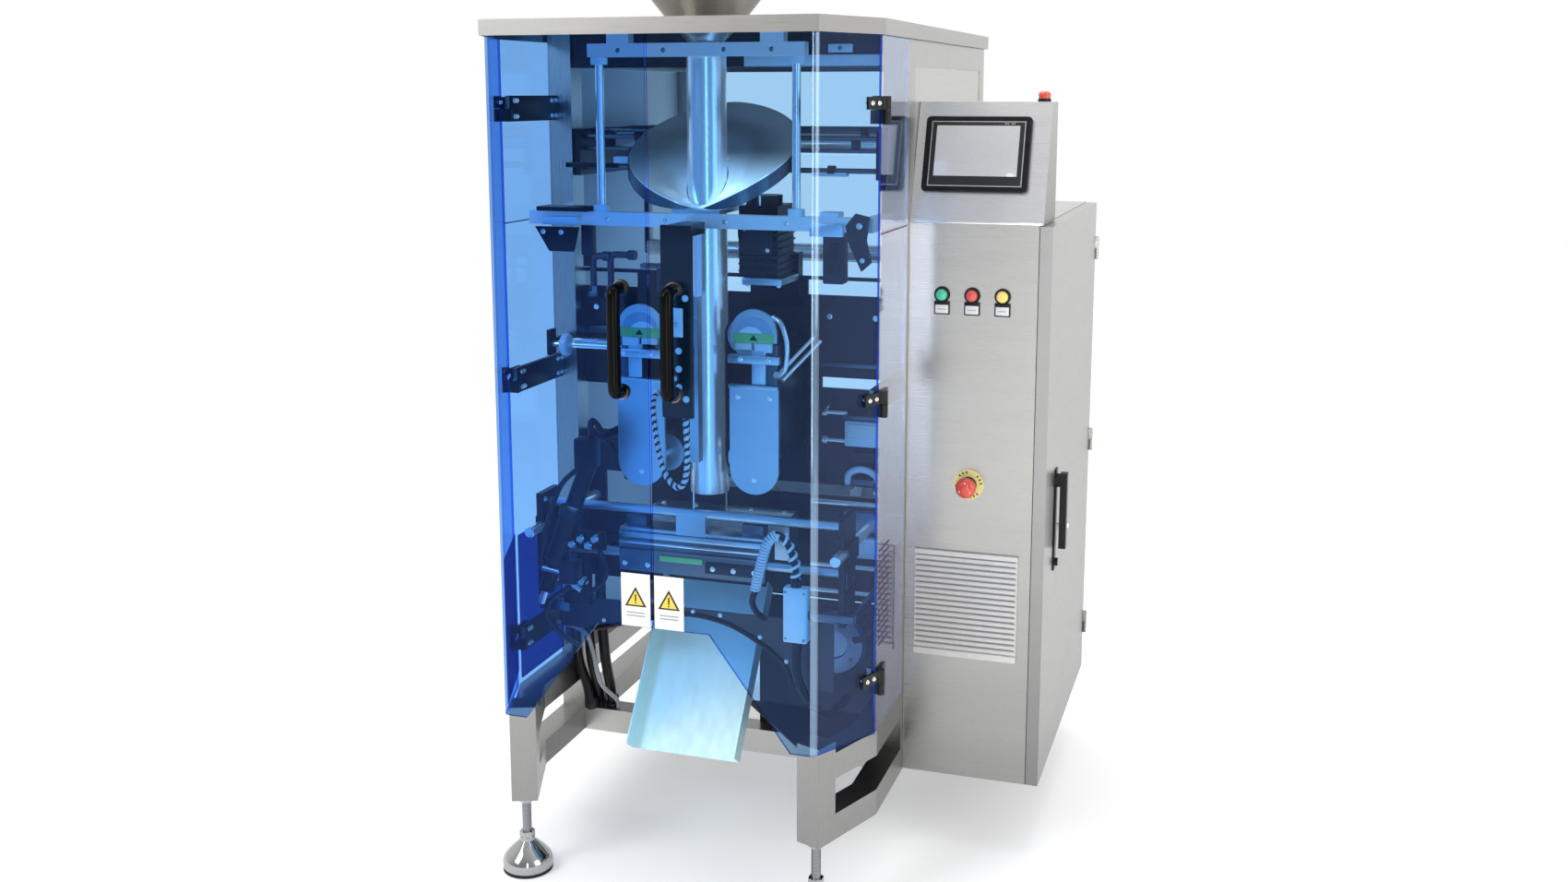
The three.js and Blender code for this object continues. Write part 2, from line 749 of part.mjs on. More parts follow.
function rollerShaft([y, z]) {
  return barX(-320, 320, y, z, 8);
}

function filmRoller(place) {
  return join(rollerShaft(place), barX(-300, 300, place[0], place[1], 22, 16));
}

function dancer() {
  const [y, z] = DANCER;
  const pieces = [rollerShaft(DANCER), barX(-290, 290, y, z - DANCER_DROP, 20, 16)];
  for (const side of [-1, 1]) {
    pieces.push(block([285 * side, 297 * side], [y - 12, y + 12], [z - DANCER_DROP - 12, z + 14]));
  }
  return join(...pieces);
}

function filmRoll() {
  const [y, z] = SPINDLE;
  const pieces = [barX(-320, 320, y, z, SPINDLE_RADIUS), barX(-160, 160, y, z, ROLL_RADIUS, 24)];
  pieces.push(barX(-185, 185, y, z, 55, 16));
  return join(...pieces);
}

// Electrical cabinet

function cabinetBody() {
  const t = CABINET_SHEET;
  const right = CABINET_DOOR_X - GAP;
  const shell = block([CABINET_X, right], [CABINET_FRONT, CABINET_REAR], [CABINET_BOTTOM, CABINET_TOP]);
  const hollow = block(
    [CABINET_X + t, right + 10],
    [CABINET_FRONT + t, CABINET_REAR - t],
    [CABINET_BOTTOM + t, CABINET_TOP - t],
  );
  const holes = [-1, 0, 1].map((step) => {
    const x = BUTTON_X + step * BUTTON_STEP;
    return barY(x, CABINET_FRONT - 5, CABINET_FRONT + 5, BUTTON_Z, 9);
  });
  holes.push(barY(BUTTON_X, CABINET_FRONT - 5, CABINET_FRONT + 5, ESTOP_Z, 11));
  return cut(shell, hollow, ...holes);
}

function cabinetDoor() {
  const t = CABINET_SHEET;
  const top = CABINET_TOP - 1.5;
  const shell = block([CABINET_DOOR_X, CABINET_SIDE], [CABINET_FRONT, CABINET_REAR], [CABINET_BOTTOM, top]);
  const hollow = block(
    [CABINET_DOOR_X - 10, CABINET_SIDE - t],
    [CABINET_FRONT + t, CABINET_REAR - t],
    [CABINET_BOTTOM + t, top - t],
  );
  return cut(shell, hollow);
}

function leverHandle() {
  const [y, z] = LEVER;
  const boss = barX(CABINET_SIDE + GAP, CABINET_SIDE + 12, y, z, 14);
  const grip = block([CABINET_SIDE + 10, CABINET_SIDE + 24], [y - 9, y + 9], [z - 138, z + 16]);
  return join(boss, grip);
}

function pushButton(step) {
  const profilePoints = [
    [0, -16],
    [9, -15],
    [11, -12],
    [11, -4],
    [8, -4],
    [8, 16],
    [0, 16],
  ];
  return lathe(profilePoints, 12).translate(BUTTON_X + step * BUTTON_STEP, CABINET_FRONT, BUTTON_Z);
}

function emergencyStop() {
  const profilePoints = [
    [0, -42],
    [12, -40],
    [19, -34],
    [20, -26],
    [14, -20],
    [10, -18],
    [10, 18],
    [0, 18],
  ];
  return lathe(profilePoints, 16).translate(BUTTON_X, CABINET_FRONT, ESTOP_Z);
}

function screenHousing() {
  const points = [SCREEN_FOOT, [SCREEN_BOX_REAR, SCREEN_FOOT[1]], [SCREEN_BOX_REAR, SCREEN_HEAD[1]], SCREEN_HEAD];
  return profile(points, CABINET_X, SCREEN_BOX_RIGHT);
}

function touchScreen() {
  const run = SCREEN_HEAD[0] - SCREEN_FOOT[0];
  const rise = SCREEN_HEAD[1] - SCREEN_FOOT[1];
  const tilt = Math.atan2(run, rise);
  const bezel = block([-SCREEN_WIDTH / 2, SCREEN_WIDTH / 2], [-9, -GAP], [-SCREEN_HEIGHT / 2, SCREEN_HEIGHT / 2]);
  const pane = block([-SCREEN_WIDTH / 2 + 14, SCREEN_WIDTH / 2 - 14], [-20, -7.5], [-SCREEN_HEIGHT / 2 + 16, SCREEN_HEIGHT / 2 - 16]);
  const screen = cut(bezel, pane).rotateX(-tilt);
  return screen.translate(SCREEN_CENTRE, SCREEN_FOOT[0] + run * 0.56, SCREEN_FOOT[1] + rise * 0.56);
}

// The sealer's lead hangs in a loop from the left pull-belt cover to the sealer bracket
function sealerLead() {
  const route = [
    [-80, 227, 925],
    [-80, 214, 925],
    [-76, 194, 905],
    [-60, 172, 850],
    [-38, 152, 795],
    [-10, 144, 768],
    [10, 138, 782],
    [17, 135, 830],
    [15, 135, SEALER_BOTTOM - 14],
    [15, 135, SEALER_BOTTOM - 0.6],
  ];
  const path = new THREE.CatmullRomCurve3(route.map(([x, y, z]) => new THREE.Vector3(x, y, z)));
  return tubeAlong(path, 6, 8, 24);
}

// Assembly

for (const side of [-1, 1]) {
  addPart(sideName('side_frame', side), sideFrame(side), 'steel');
  addPart(sideName('side_window', side), sideWindow(side), 'acrylic');
  addPart(sideName('side_panel', side), sidePanel(side), 'steel');
  addPart(sideName('door', side), door(side), 'acrylic');
  addPart(sideName('door_handle', side), doorHandle(side), 'black');
  addPart(sideName('guide_rod', side), barZ(
    ROD_X * side,
    BAR_Y,
    CROSSBAR_Z + BAR_HALF + GAP,
    UPPER_BAR_BOTTOM - GAP,
    ROD_RADIUS,
  ), 'chrome');
  addPart(sideName('belt_cover', side), beltCover(side), 'aluminium');
  addPart(sideName('pull_belt', side), belt(side), 'rubber');
  addPart(sideName('upper_pulley', side), pulley(side, PULLEY_HIGH), 'aluminium');
  addPart(sideName('lower_pulley', side), pulley(side, PULLEY_LOW), 'aluminium');
  addPart(sideName('jaw_guide_rod', side), barY(JAW_END_X * side, 120, MOUNT_Y - GAP, JAW_GUIDE_Z, 10), 'chrome');
  addPart(sideName('roller_plate', side), rollerPlate(side), 'black');
  const [legX, legY] = taperPoint(LEG_SETBACK + TUBE / 2, FRAME_INSET + TUBE / 2);
  addPart(sideName('front_foot', side), foot(legX * side, legY), 'chrome');
  addPart(sideName('rear_foot', side), foot((SIDE_HALF - TUBE / 2) * side, REAR_Y - TUBE / 2), 'chrome');
}

addPart('lower_cross_rail', crossRail(POST_Y, POST_Y + TUBE, BASE_BOTTOM, BASE_BOTTOM + TUBE), 'steel');
addPart('rear_cross_rail', crossRail(REAR_POST_Y, REAR_Y, BASE_BOTTOM, BASE_BOTTOM + TUBE), 'steel');
addPart('upper_cross_beam', crossRail(POST_Y + 7, POST_Y + 43, TOP_RAIL_BOTTOM, RAIL_TOP), 'steel');
addPart('rear_upper_beam', crossRail(REAR_POST_Y, REAR_Y, TOP_RAIL_BOTTOM, RAIL_TOP), 'steel');
addPart('top_plate', topPlate(), 'steel');
addPart('hopper', hopper(), 'steel');
addPart('forming_tube', formingTube(), 'chrome');
addPart('forming_collar', formingCollar(), 'chrome');
addPart('crossbar', crossbar(), 'aluminium');
addPart('upper_bar', upperBar(), 'aluminium');
addPart('mounting_plate', mountingPlate(), 'black');
addPart('belt_motor', beltMotor(), 'black');
addPart('sealer_bracket', sealerBracket(), 'black');
addPart('sealer_bar', sealerBar(), 'aluminium');
addPart('front_jaw', jawCarriage(), 'aluminium');
addPart('rear_jaw', rearJaw(), 'aluminium');
addPart('jaw_drive', jawDrive(), 'black');
addPart('bag_chute', chute(), 'steel');
addPart('front_film_roller', filmRoller(ROLLER_FRONT), 'chrome');
addPart('rear_film_roller', filmRoller(ROLLER_REAR), 'chrome');
addPart('dancer', dancer(), 'chrome');
addPart('film_roll', filmRoll(), 'film');
addPart('cabinet_body', cabinetBody(), 'steel');
addPart('cabinet_door', cabinetDoor(), 'steel');
addPart('cabinet_lever', leverHandle(), 'black');
addPart('start_button', pushButton(-1), 'green');
addPart('stop_button', pushButton(0), 'red');
addPart('jog_button', pushButton(1), 'yellow');
addPart('emergency_stop', emergencyStop(), 'red');
addPart('screen_housing', screenHousing(), 'steel');
addPart('touch_screen', touchScreen(), 'screen');
addPart('sealer_lead', sealerLead(), 'rubber');

// The footprint's middle goes to the origin, with the floor at z = 0
const bounds = new THREE.Box3().setFromObject(machine);
const centre = bounds.getCenter(new THREE.Vector3());
machine.position.set(-centre.x, -centre.y, -bounds.min.z);

export default machine;
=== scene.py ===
"""Vertical form fill seal machine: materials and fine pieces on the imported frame.

Places are written in the machine's own millimetres: x = 0 is the seam between the doors, y = 0 is the
doors' front face, +y runs into the machine, and z = 0 is the floor. at() turns them into row metres.
"""
import math
from itertools import accumulate

import bmesh
import bpy
from mathutils import Matrix, Vector


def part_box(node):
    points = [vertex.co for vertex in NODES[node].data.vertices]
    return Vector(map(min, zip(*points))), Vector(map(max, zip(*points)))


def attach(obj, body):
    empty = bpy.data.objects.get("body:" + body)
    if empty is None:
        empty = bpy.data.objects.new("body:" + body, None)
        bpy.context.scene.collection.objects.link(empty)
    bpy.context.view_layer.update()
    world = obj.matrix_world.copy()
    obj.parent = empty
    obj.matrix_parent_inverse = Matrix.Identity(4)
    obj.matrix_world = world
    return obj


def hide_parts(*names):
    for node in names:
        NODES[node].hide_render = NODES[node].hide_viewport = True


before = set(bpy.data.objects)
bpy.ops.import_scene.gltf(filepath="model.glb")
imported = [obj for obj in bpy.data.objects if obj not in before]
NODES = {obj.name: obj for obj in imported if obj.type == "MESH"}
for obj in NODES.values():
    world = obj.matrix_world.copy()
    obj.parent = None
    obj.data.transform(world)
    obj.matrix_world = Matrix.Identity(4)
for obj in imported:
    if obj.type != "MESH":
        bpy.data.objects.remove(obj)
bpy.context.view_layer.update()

LEFT_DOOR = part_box("door_left")
RIGHT_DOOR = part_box("door_right")
SEAM_X = (LEFT_DOOR[1].x + RIGHT_DOOR[0].x) / 2
FRONT_Y = RIGHT_DOOR[0].y
SIDES = {-1: "left", 1: "right"}
UP = (0, 0, 1)
FORWARD = (0, -1, 0)
BACK = (0, 1, 0)


def at(x, y, z):
    """A point given in the machine's millimetres, in row metres."""
    return Vector((SEAM_X + x / 1000, FRONT_Y + y / 1000, z / 1000))


def mm(node):
    """A CAD node's lowest and highest corners, in the machine's millimetres."""
    shift = at(0, 0, 0)
    return [(corner - shift) * 1000 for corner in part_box(node)]


def centre_of(node):
    """The middle of a CAD node's box, in the machine's millimetres."""
    low, high = mm(node)
    return (low + high) / 2


def pair(near, far, side):
    """Limits along x that lie between two distances from the seam, on the given side of it."""
    return sorted((near * side, far * side))


def around(centre, half):
    """Limits that lie as far on both sides of a centre."""
    return (centre - half, centre + half)


def show(thing):
    bpy.context.scene.collection.objects.link(thing)


# ---------------------------------------------------------------- camera, light and floor

CAMERA_PLACE = (1048, -2448, 1498)
CAMERA_YAW = 18.05
CAMERA_PITCH = 9.42
CAMERA_LENS = 35.1
CAMERA_SHIFT = -0.06
AIM = Vector((0, 0, 0.9))
FLOOR_RADIUS = 14
FLOOR_DROP = 0.0005


def make_camera():
    data = bpy.data.cameras.new("camera")
    data.lens = CAMERA_LENS
    data.sensor_width = 36
    data.shift_y = CAMERA_SHIFT
    camera = bpy.data.objects.new("camera", data)
    camera.location = at(*CAMERA_PLACE)
    camera.rotation_euler = (math.radians(90 - CAMERA_PITCH), 0, math.radians(CAMERA_YAW))
    show(camera)
    bpy.context.scene.camera = camera


def area_light(name, place, size, power):
    """A rectangular lamp that the camera doesn't see, aimed at the machine's middle."""
    data = bpy.data.lights.new(name, "AREA")
    data.shape = "RECTANGLE"
    data.size, data.size_y = size
    data.energy = power
    light = bpy.data.objects.new(name, data)
    light.location = place
    light.rotation_euler = (AIM - Vector(place)).to_track_quat("-Z", "Y").to_euler()
    light.visible_camera = False
    show(light)


def make_world():
    """White for the camera. For everything else, a room that is dimmer in front of the machine."""
    world = bpy.data.worlds.new("studio")
    world.use_nodes = True
    tree = world.node_tree
    room = ranged(tree, place_along(tree, "Y"), (-0.95, 0.1), (0.42, 1.0), "SMOOTHSTEP")
    seen = add(tree, "ShaderNodeLightPath").outputs["Is Camera Ray"]
    strength = add(tree, "ShaderNodeMath", {0: room, 1: seen}, operation="MAXIMUM").outputs["Value"]
    feed(tree, tree.nodes["Background"], {"Color": (1, 1, 1, 1), "Strength": strength})
    bpy.context.scene.world = world


def make_floor():
    """A white floor that gives off a little light, so that the shadow on it stays pale."""
    bm = bmesh.new()
    bmesh.ops.create_circle(bm, cap_ends=True, segments=96, radius=FLOOR_RADIUS)
    mesh = bpy.data.meshes.new("floor")
    bm.to_mesh(mesh)
    bm.free()
    floor = bpy.data.objects.new("floor", mesh)
    floor.location.z = -FLOOR_DROP
    white = plain("floor_white", (0.93, 0.93, 0.93), 0.9, grain=0.02, scale=2)
    mesh.materials.append(lit(white, (1, 1, 1), 0.22))
    show(floor)


def make_studio():
    make_world()
    bpy.context.scene.view_settings.view_transform = "Standard"
    area_light("key", (-2.2, -3.2, 3.2), (1.5, 2.4), 70)
    area_light("fill", (3.4, -1.6, 1.8), (2.0, 2.6), 30)
    area_light("top", (0, 0.2, 3.6), (2.6, 2.6), 35)
    area_light("strip", (0.9, -3.4, 1.2), (0.22, 2.2), 14)
    make_floor()


# ---------------------------------------------------------------- materials

NOISE_SPAN = (0.3, 0.7)
BRUSH_DEPTH = 0.0004
GRAIN_DEPTH = 0.0003


def shader(name):
    """A new material, its node tree and its Principled shader."""
    material = bpy.data.materials.new(name)
    material.use_nodes = True
    tree = material.node_tree
    return material, tree, tree.nodes["Principled BSDF"]


def feed(tree, node, inputs):
    """Sets a node's inputs: another node's socket is linked, and anything else is the value."""
    for key, value in inputs.items():
        if isinstance(value, bpy.types.NodeSocket):
            tree.links.new(value, node.inputs[key])
        else:
            node.inputs[key].default_value = value


def add(tree, kind, inputs=None, **settings):
    """A new node with its settings and its inputs."""
    node = tree.nodes.new(kind)
    for key, value in settings.items():
        setattr(node, key, value)
    feed(tree, node, inputs or {})
    return node


def place_along(tree, axis):
    """How far along an axis of the object's own box the shaded point lies, from 0 to 1."""
    place = add(tree, "ShaderNodeTexCoord").outputs["Generated"]
    return add(tree, "ShaderNodeSeparateXYZ", {"Vector": place}).outputs[axis]


def stretched_noise(tree, stretch, detail):
    """Noise in the object's own coordinates, stretched by a scale for each axis."""
    place = add(tree, "ShaderNodeTexCoord").outputs["Object"]
    scaled = add(tree, "ShaderNodeMapping", {"Vector": place, "Scale": stretch}).outputs["Vector"]
    inputs = {"Vector": scaled, "Scale": 1.0, "Detail": detail, "Roughness": 0.6}
    return add(tree, "ShaderNodeTexNoise", inputs).outputs["Fac"]


def ramp(tree, factor, low, high):
    """The noise turned into a colour between low and high."""
    node = add(tree, "ShaderNodeValToRGB", {"Fac": factor})
    for stop, position, colour in zip(node.color_ramp.elements, NOISE_SPAN, (low, high)):
        stop.position = position
        stop.color = (*colour, 1)
    return node.outputs["Color"]


def ranged(tree, value, span, result, easing="LINEAR"):
    """The value carried from one pair of limits to another."""
    limits = {"From Min": span[0], "From Max": span[1], "To Min": result[0], "To Max": result[1]}
    node = add(tree, "ShaderNodeMapRange", {"Value": value, **limits}, interpolation_type=easing)
    return node.outputs["Result"]


def bump(tree, height, strength, distance):
    """The surface's normal, tilted by a height."""
    inputs = {"Height": height, "Strength": strength, "Distance": distance}
    return add(tree, "ShaderNodeBump", inputs).outputs["Normal"]


def brushed(name, colour, roughness, stretch, strength=0.12, painted_foot_shade=0.0, glow=0.0):
    """Metal with fine brushing lines and broad streaks, darkened towards its foot as painted shade (lightened
    there as painted light when the amount is below zero).
    """
    material, tree, principled = shader(name)
    material.cycles.emission_sampling = "NONE"
    lines = stretched_noise(tree, stretch, 5.0)
    streaks = stretched_noise(tree, tuple(max(2.0, s * 0.02) for s in stretch), 3.0)
    shade = ramp(tree, streaks, tuple(c * 0.95 for c in colour), colour)
    # Painted shade: the colour is scaled down towards the object's foot.
    if painted_foot_shade:
        height = ranged(tree, place_along(tree, "Z"), (0, 1), (1 - painted_foot_shade, 1))
        foot_shaded = add(tree, "ShaderNodeVectorMath", {0: shade, "Scale": height}, operation="SCALE")
        shade = foot_shaded.outputs["Vector"]
    feed(tree, principled, {
        "Metallic": 1,
        "Base Color": shade,
        "Roughness": ranged(tree, lines, NOISE_SPAN, (roughness - 0.05, roughness + 0.06)),
        "Normal": bump(tree, lines, strength, BRUSH_DEPTH),
    })
    return lit(material, colour, glow)


def lit(material, colour, glow):
    """The material giving off some light of a colour."""
    tree = material.node_tree
    feed(tree, tree.nodes["Principled BSDF"], {"Emission Color": (*colour, 1), "Emission Strength": glow})
    return material


def collar_painted_highlight():
    """Steel with a painted highlight: its low part is lightened and glows, most of all on its right wing."""
    material = brushed("collar_painted_highlight", (0.50, 0.55, 0.60), 0.24, (3, 3, 3), 0.0, painted_foot_shade=-1.0)
    tree = material.node_tree
    low = ranged(tree, place_along(tree, "Z"), (0.12, 0.58), (1.0, 0.0), "SMOOTHSTEP")
    right = ranged(tree, place_along(tree, "X"), (0.45, 0.62), (0.35, 1.5), "SMOOTHSTEP")
    glow = add(tree, "ShaderNodeMath", {0: low, 1: right, 2: 0.06}, operation="MULTIPLY_ADD")
    return lit(material, (0.82, 0.92, 1.0), glow.outputs["Value"])


def plain(name, colour, roughness, metallic=0.0, grain=0.12, scale=60, coat=0.0, relief=0.1, shine=0.5):
    """Paint, plastic or rubber with a fine grain in its colour, gloss and surface."""
    material, tree, principled = shader(name)
    noise = stretched_noise(tree, (scale, scale, scale), 6.0)
    low = tuple(c * (1 - grain) for c in colour)
    high = tuple(min(1.0, c * (1 + grain)) for c in colour)
    rough = (max(0.02, roughness * 0.85), min(1.0, roughness * 1.15))
    feed(tree, principled, {
        "Metallic": metallic,
        "Specular IOR Level": shine,
        "Coat Weight": coat,
        "Base Color": ramp(tree, noise, low, high),
        "Roughness": ranged(tree, noise, NOISE_SPAN, rough),
        "Normal": bump(tree, noise, relief, GRAIN_DEPTH),
    })
    return material


def acrylic(name, tint, face_colour, haze, glance):
    """Clear coloured sheet: tinted light goes through, and its face mirrors more at a glance."""
    material, tree, principled = shader(name)
    noise = stretched_noise(tree, (5, 5, 2), 2.0)
    colour = ramp(tree, noise, tuple(c * 0.92 for c in face_colour), face_colour)
    feed(tree, principled, {"Base Color": colour, "Metallic": 1, "Roughness": 0.06})
    clear = add(tree, "ShaderNodeBsdfTransparent", {"Color": (*tint, 1)}).outputs["BSDF"]
    facing = add(tree, "ShaderNodeLayerWeight", {"Blend": 0.5}).outputs["Facing"]
    edge = add(tree, "ShaderNodeMath", {0: facing, 1: 2.2}, operation="POWER").outputs["Value"]
    share = {0: edge, 1: glance, 2: haze}
    mirrored = add(tree, "ShaderNodeMath", share, operation="MULTIPLY_ADD", use_clamp=True)
    parts = {0: mirrored.outputs["Value"], 1: clear, 2: principled.outputs["BSDF"]}
    mix = add(tree, "ShaderNodeMixShader", parts)
    feed(tree, tree.nodes["Material Output"], {"Surface": mix.outputs["Shader"]})
    return material


def glowing(name, colour, glow):
    """A lens or screen: glossy plastic that gives off a little of its own colour."""
    return lit(plain(name, colour, 0.18, grain=0.05, scale=200, coat=0.6, relief=0.02), colour, glow)


LEVEL_LINES = (14, 14, 1100)
UPRIGHT_LINES = (1000, 1000, 12)

# Painted shade: the level, side and upright steels are darkened towards their foot.
STEEL = brushed("steel_level", (0.56, 0.555, 0.535), 0.30, LEVEL_LINES, painted_foot_shade=0.46)
# Painted shade: a darker copy of the steel for faces turned away from the light, on the cabinet's door and
# the screen housing's right side.
STEEL_SHADED_SIDE = brushed("steel_shaded_side", (0.46, 0.46, 0.45), 0.32, LEVEL_LINES, painted_foot_shade=0.50)
# Painted light: a brighter copy of the steel that glows, for the screen housing's front.
STEEL_PAINTED_LIGHT = brushed("steel_painted_light", (0.76, 0.76, 0.77), 0.30, LEVEL_LINES, glow=0.14)
STEEL_UPRIGHT = brushed("steel_upright", (0.48, 0.48, 0.465), 0.30, UPRIGHT_LINES, painted_foot_shade=0.40)
STEEL_TOP = brushed("steel_top", (0.45, 0.445, 0.425), 0.32, LEVEL_LINES)
HOPPER = brushed("steel_hopper", (0.50, 0.48, 0.45), 0.30, UPRIGHT_LINES)
# Painted reflection: the chute's pale cyan stands for the blue doors mirrored in its steel; it also glows
# faintly as painted light.
CHUTE = brushed("steel_chute", (0.64, 0.86, 0.90), 0.62, (60, 30, 30), 0.04, glow=0.03)
# Painted light: the polished steel glows a little.
POLISHED = brushed("polished", (0.84, 0.86, 0.88), 0.20, UPRIGHT_LINES, 0.0, glow=0.10)
CHROME = brushed("chrome_dark", (0.42, 0.43, 0.43), 0.10, (12, 12, 12), 0.05)
ALUMINIUM = brushed("aluminium", (0.66, 0.74, 0.80), 0.38, (300, 300, 40), 0.15)
STUD = brushed("stud_steel", (0.34, 0.35, 0.36), 0.22, (12, 12, 400), 0.1)
COLLAR = collar_painted_highlight()
# Painted light: the tube's steel glows.
TUBE = brushed("tube_steel", (0.90, 0.91, 0.93), 0.24, (400, 400, 5), 0.0, glow=0.12)
# Painted light: a glowing copy of the aluminium, for the crossbar and the upper bar.
ALUMINIUM_PAINTED_GLOW = brushed("aluminium_painted_glow", (0.76, 0.82, 0.88), 0.38, (300, 300, 40), 0.06, glow=0.16)
# Painted light: near white for the side panels' inner faces, where the steel looks bright.
INNER_PAINTED_LIGHT = plain("panel_inner_painted_light", (0.86, 0.89, 0.92), 0.5, grain=0.02, scale=8)
BLUE_STEEL = brushed("blue_steel", (0.20, 0.27, 0.40), 0.34, (200, 40, 40), 0.1)
PIPE = plain("air_pipe", (0.07, 0.06, 0.10), 0.35, grain=0.15, shine=0.4)
# A near-black guard sheet; its darkness is partly painted shade under the jaws.
GUARD_SHADE = plain("guard_sheet_painted_shade", (0.030, 0.030, 0.045), 0.32, grain=0.2, scale=20, shine=0.4)
# Dark steel, also used as painted shade on the forming collar's flange.
DARK_STEEL_AND_SHADE = brushed("dark_steel_and_shade", (0.16, 0.18, 0.21), 0.34, (300, 40, 40), 0.15)
BLACK = plain("black_satin", (0.006, 0.006, 0.007), 0.34, grain=0.3, shine=0.3)
BLACK_GLOSS = plain("black_gloss", (0.001, 0.001, 0.001), 0.14, grain=0.3, relief=0.0, shine=0.10)
# Painted shade: a darker band inside each belt guard's round head.
COVER_SHADE_BAND = plain("cover_band_painted_shade", (0.34, 0.44, 0.60), 0.4, grain=0.06, coat=0.2)
# Dark paint, also used as painted shade on the upper cross beam.
DARK_PLATE_AND_SHADE = plain("dark_plate_and_shade", (0.022, 0.020, 0.028), 0.45, grain=0.25, scale=30, shine=0.3)
RUBBER = plain("rubber", (0.014, 0.014, 0.015), 0.75, grain=0.3, scale=120, relief=0.3, shine=0.3)
CABLE = plain("cable_black", (0.008, 0.008, 0.010), 0.5, grain=0.2, scale=150, shine=0.4)
HOSE = plain("hose_black", (0.006, 0.006, 0.007), 0.30, grain=0.2, scale=90, shine=0.25)
WRAP = plain("spiral_wrap", (0.75, 0.78, 0.82), 0.25, grain=0.05, coat=0.3)
FILM = plain("film_roll_white", (0.70, 0.74, 0.78), 0.22, grain=0.03, scale=20, coat=0.4)
LABEL = plain("label_white", (0.78, 0.77, 0.74), 0.4, grain=0.02)
YELLOW = plain("label_yellow", (0.85, 0.60, 0.08), 0.4, grain=0.04)
GREEN_LABEL = plain("label_green", (0.26, 0.62, 0.20), 0.4, grain=0.05)
INK = plain("label_ink", (0.02, 0.02, 0.02), 0.5, grain=0.1, shine=0.3)
GREY = plain("grey_plastic", (0.34, 0.35, 0.37), 0.45, grain=0.06)
PALE = plain("pale_enamel", (0.78, 0.85, 0.90), 0.35, grain=0.04, coat=0.2)
GRILLE = plain("grille_enamel", (0.66, 0.64, 0.61), 0.42, grain=0.03)
BRASS = plain("brass", (0.72, 0.52, 0.22), 0.25, metallic=1.0, grain=0.08)
RING = plain("stop_ring_yellow", (0.84, 0.74, 0.28), 0.4, grain=0.04)
RED = plain("red_plastic", (0.70, 0.07, 0.04), 0.22, grain=0.06, coat=0.5)
VIOLET = plain("vent_shadow", (0.10, 0.06, 0.16), 0.5, grain=0.1, shine=0.2)
GREEN_LENS = glowing("green_lens", (0.04, 0.45, 0.27), 0.2)
RED_LENS = glowing("red_lens", (0.62, 0.07, 0.06), 0.2)
YELLOW_LENS = glowing("yellow_lens", (0.85, 0.58, 0.14), 0.25)
SCREEN = glowing("screen_glass", (0.40, 0.40, 0.41), 0.35)
# One acrylic for both doors: the left door's copy is tinted deeper as painted shade and the right door's
# paler as painted light.
ACRYLIC_LEFT = acrylic("acrylic_left", (0.49, 0.72, 0.95), (0.20, 0.36, 1.0), 0.022, 0.30)
ACRYLIC_RIGHT = acrylic("acrylic_right", (0.60, 0.79, 0.95), (0.35, 0.50, 1.0), 0.022, 0.26)
ACRYLIC_WING = acrylic("acrylic_wing", (0.58, 0.78, 0.95), (0.45, 0.52, 0.92), 0.025, 0.12)
# Painted highlight: a paler, more mirroring copy for the right door's bend.
ACRYLIC_BEND_HIGHLIGHT = acrylic("acrylic_bend_painted_highlight", (0.60, 0.80, 0.97), (0.62, 0.80, 1.0), 0.20, 0.30)
ACRYLIC_SHADE = acrylic("acrylic_shade", (0.45, 0.62, 0.88), (0.34, 0.44, 0.78), 0.05, 0.06)
ACRYLIC_EDGE = acrylic("acrylic_edge", (0.10, 0.26, 0.85), (0.10, 0.25, 0.90), 0.20, 0.3)
ACRYLIC_SIDE = acrylic("acrylic_side", (0.86, 0.89, 0.96), (0.78, 0.82, 0.95), 0.18, 0.50)
ACRYLIC_INNER = acrylic("acrylic_inner", (0.88, 0.92, 0.98), (0.70, 0.80, 1.0), 0.05, 0.04)
ACRYLIC_DEEP = acrylic("acrylic_deep", (0.16, 0.23, 0.52), (0.05, 0.09, 0.42), 0.03, 0.1)


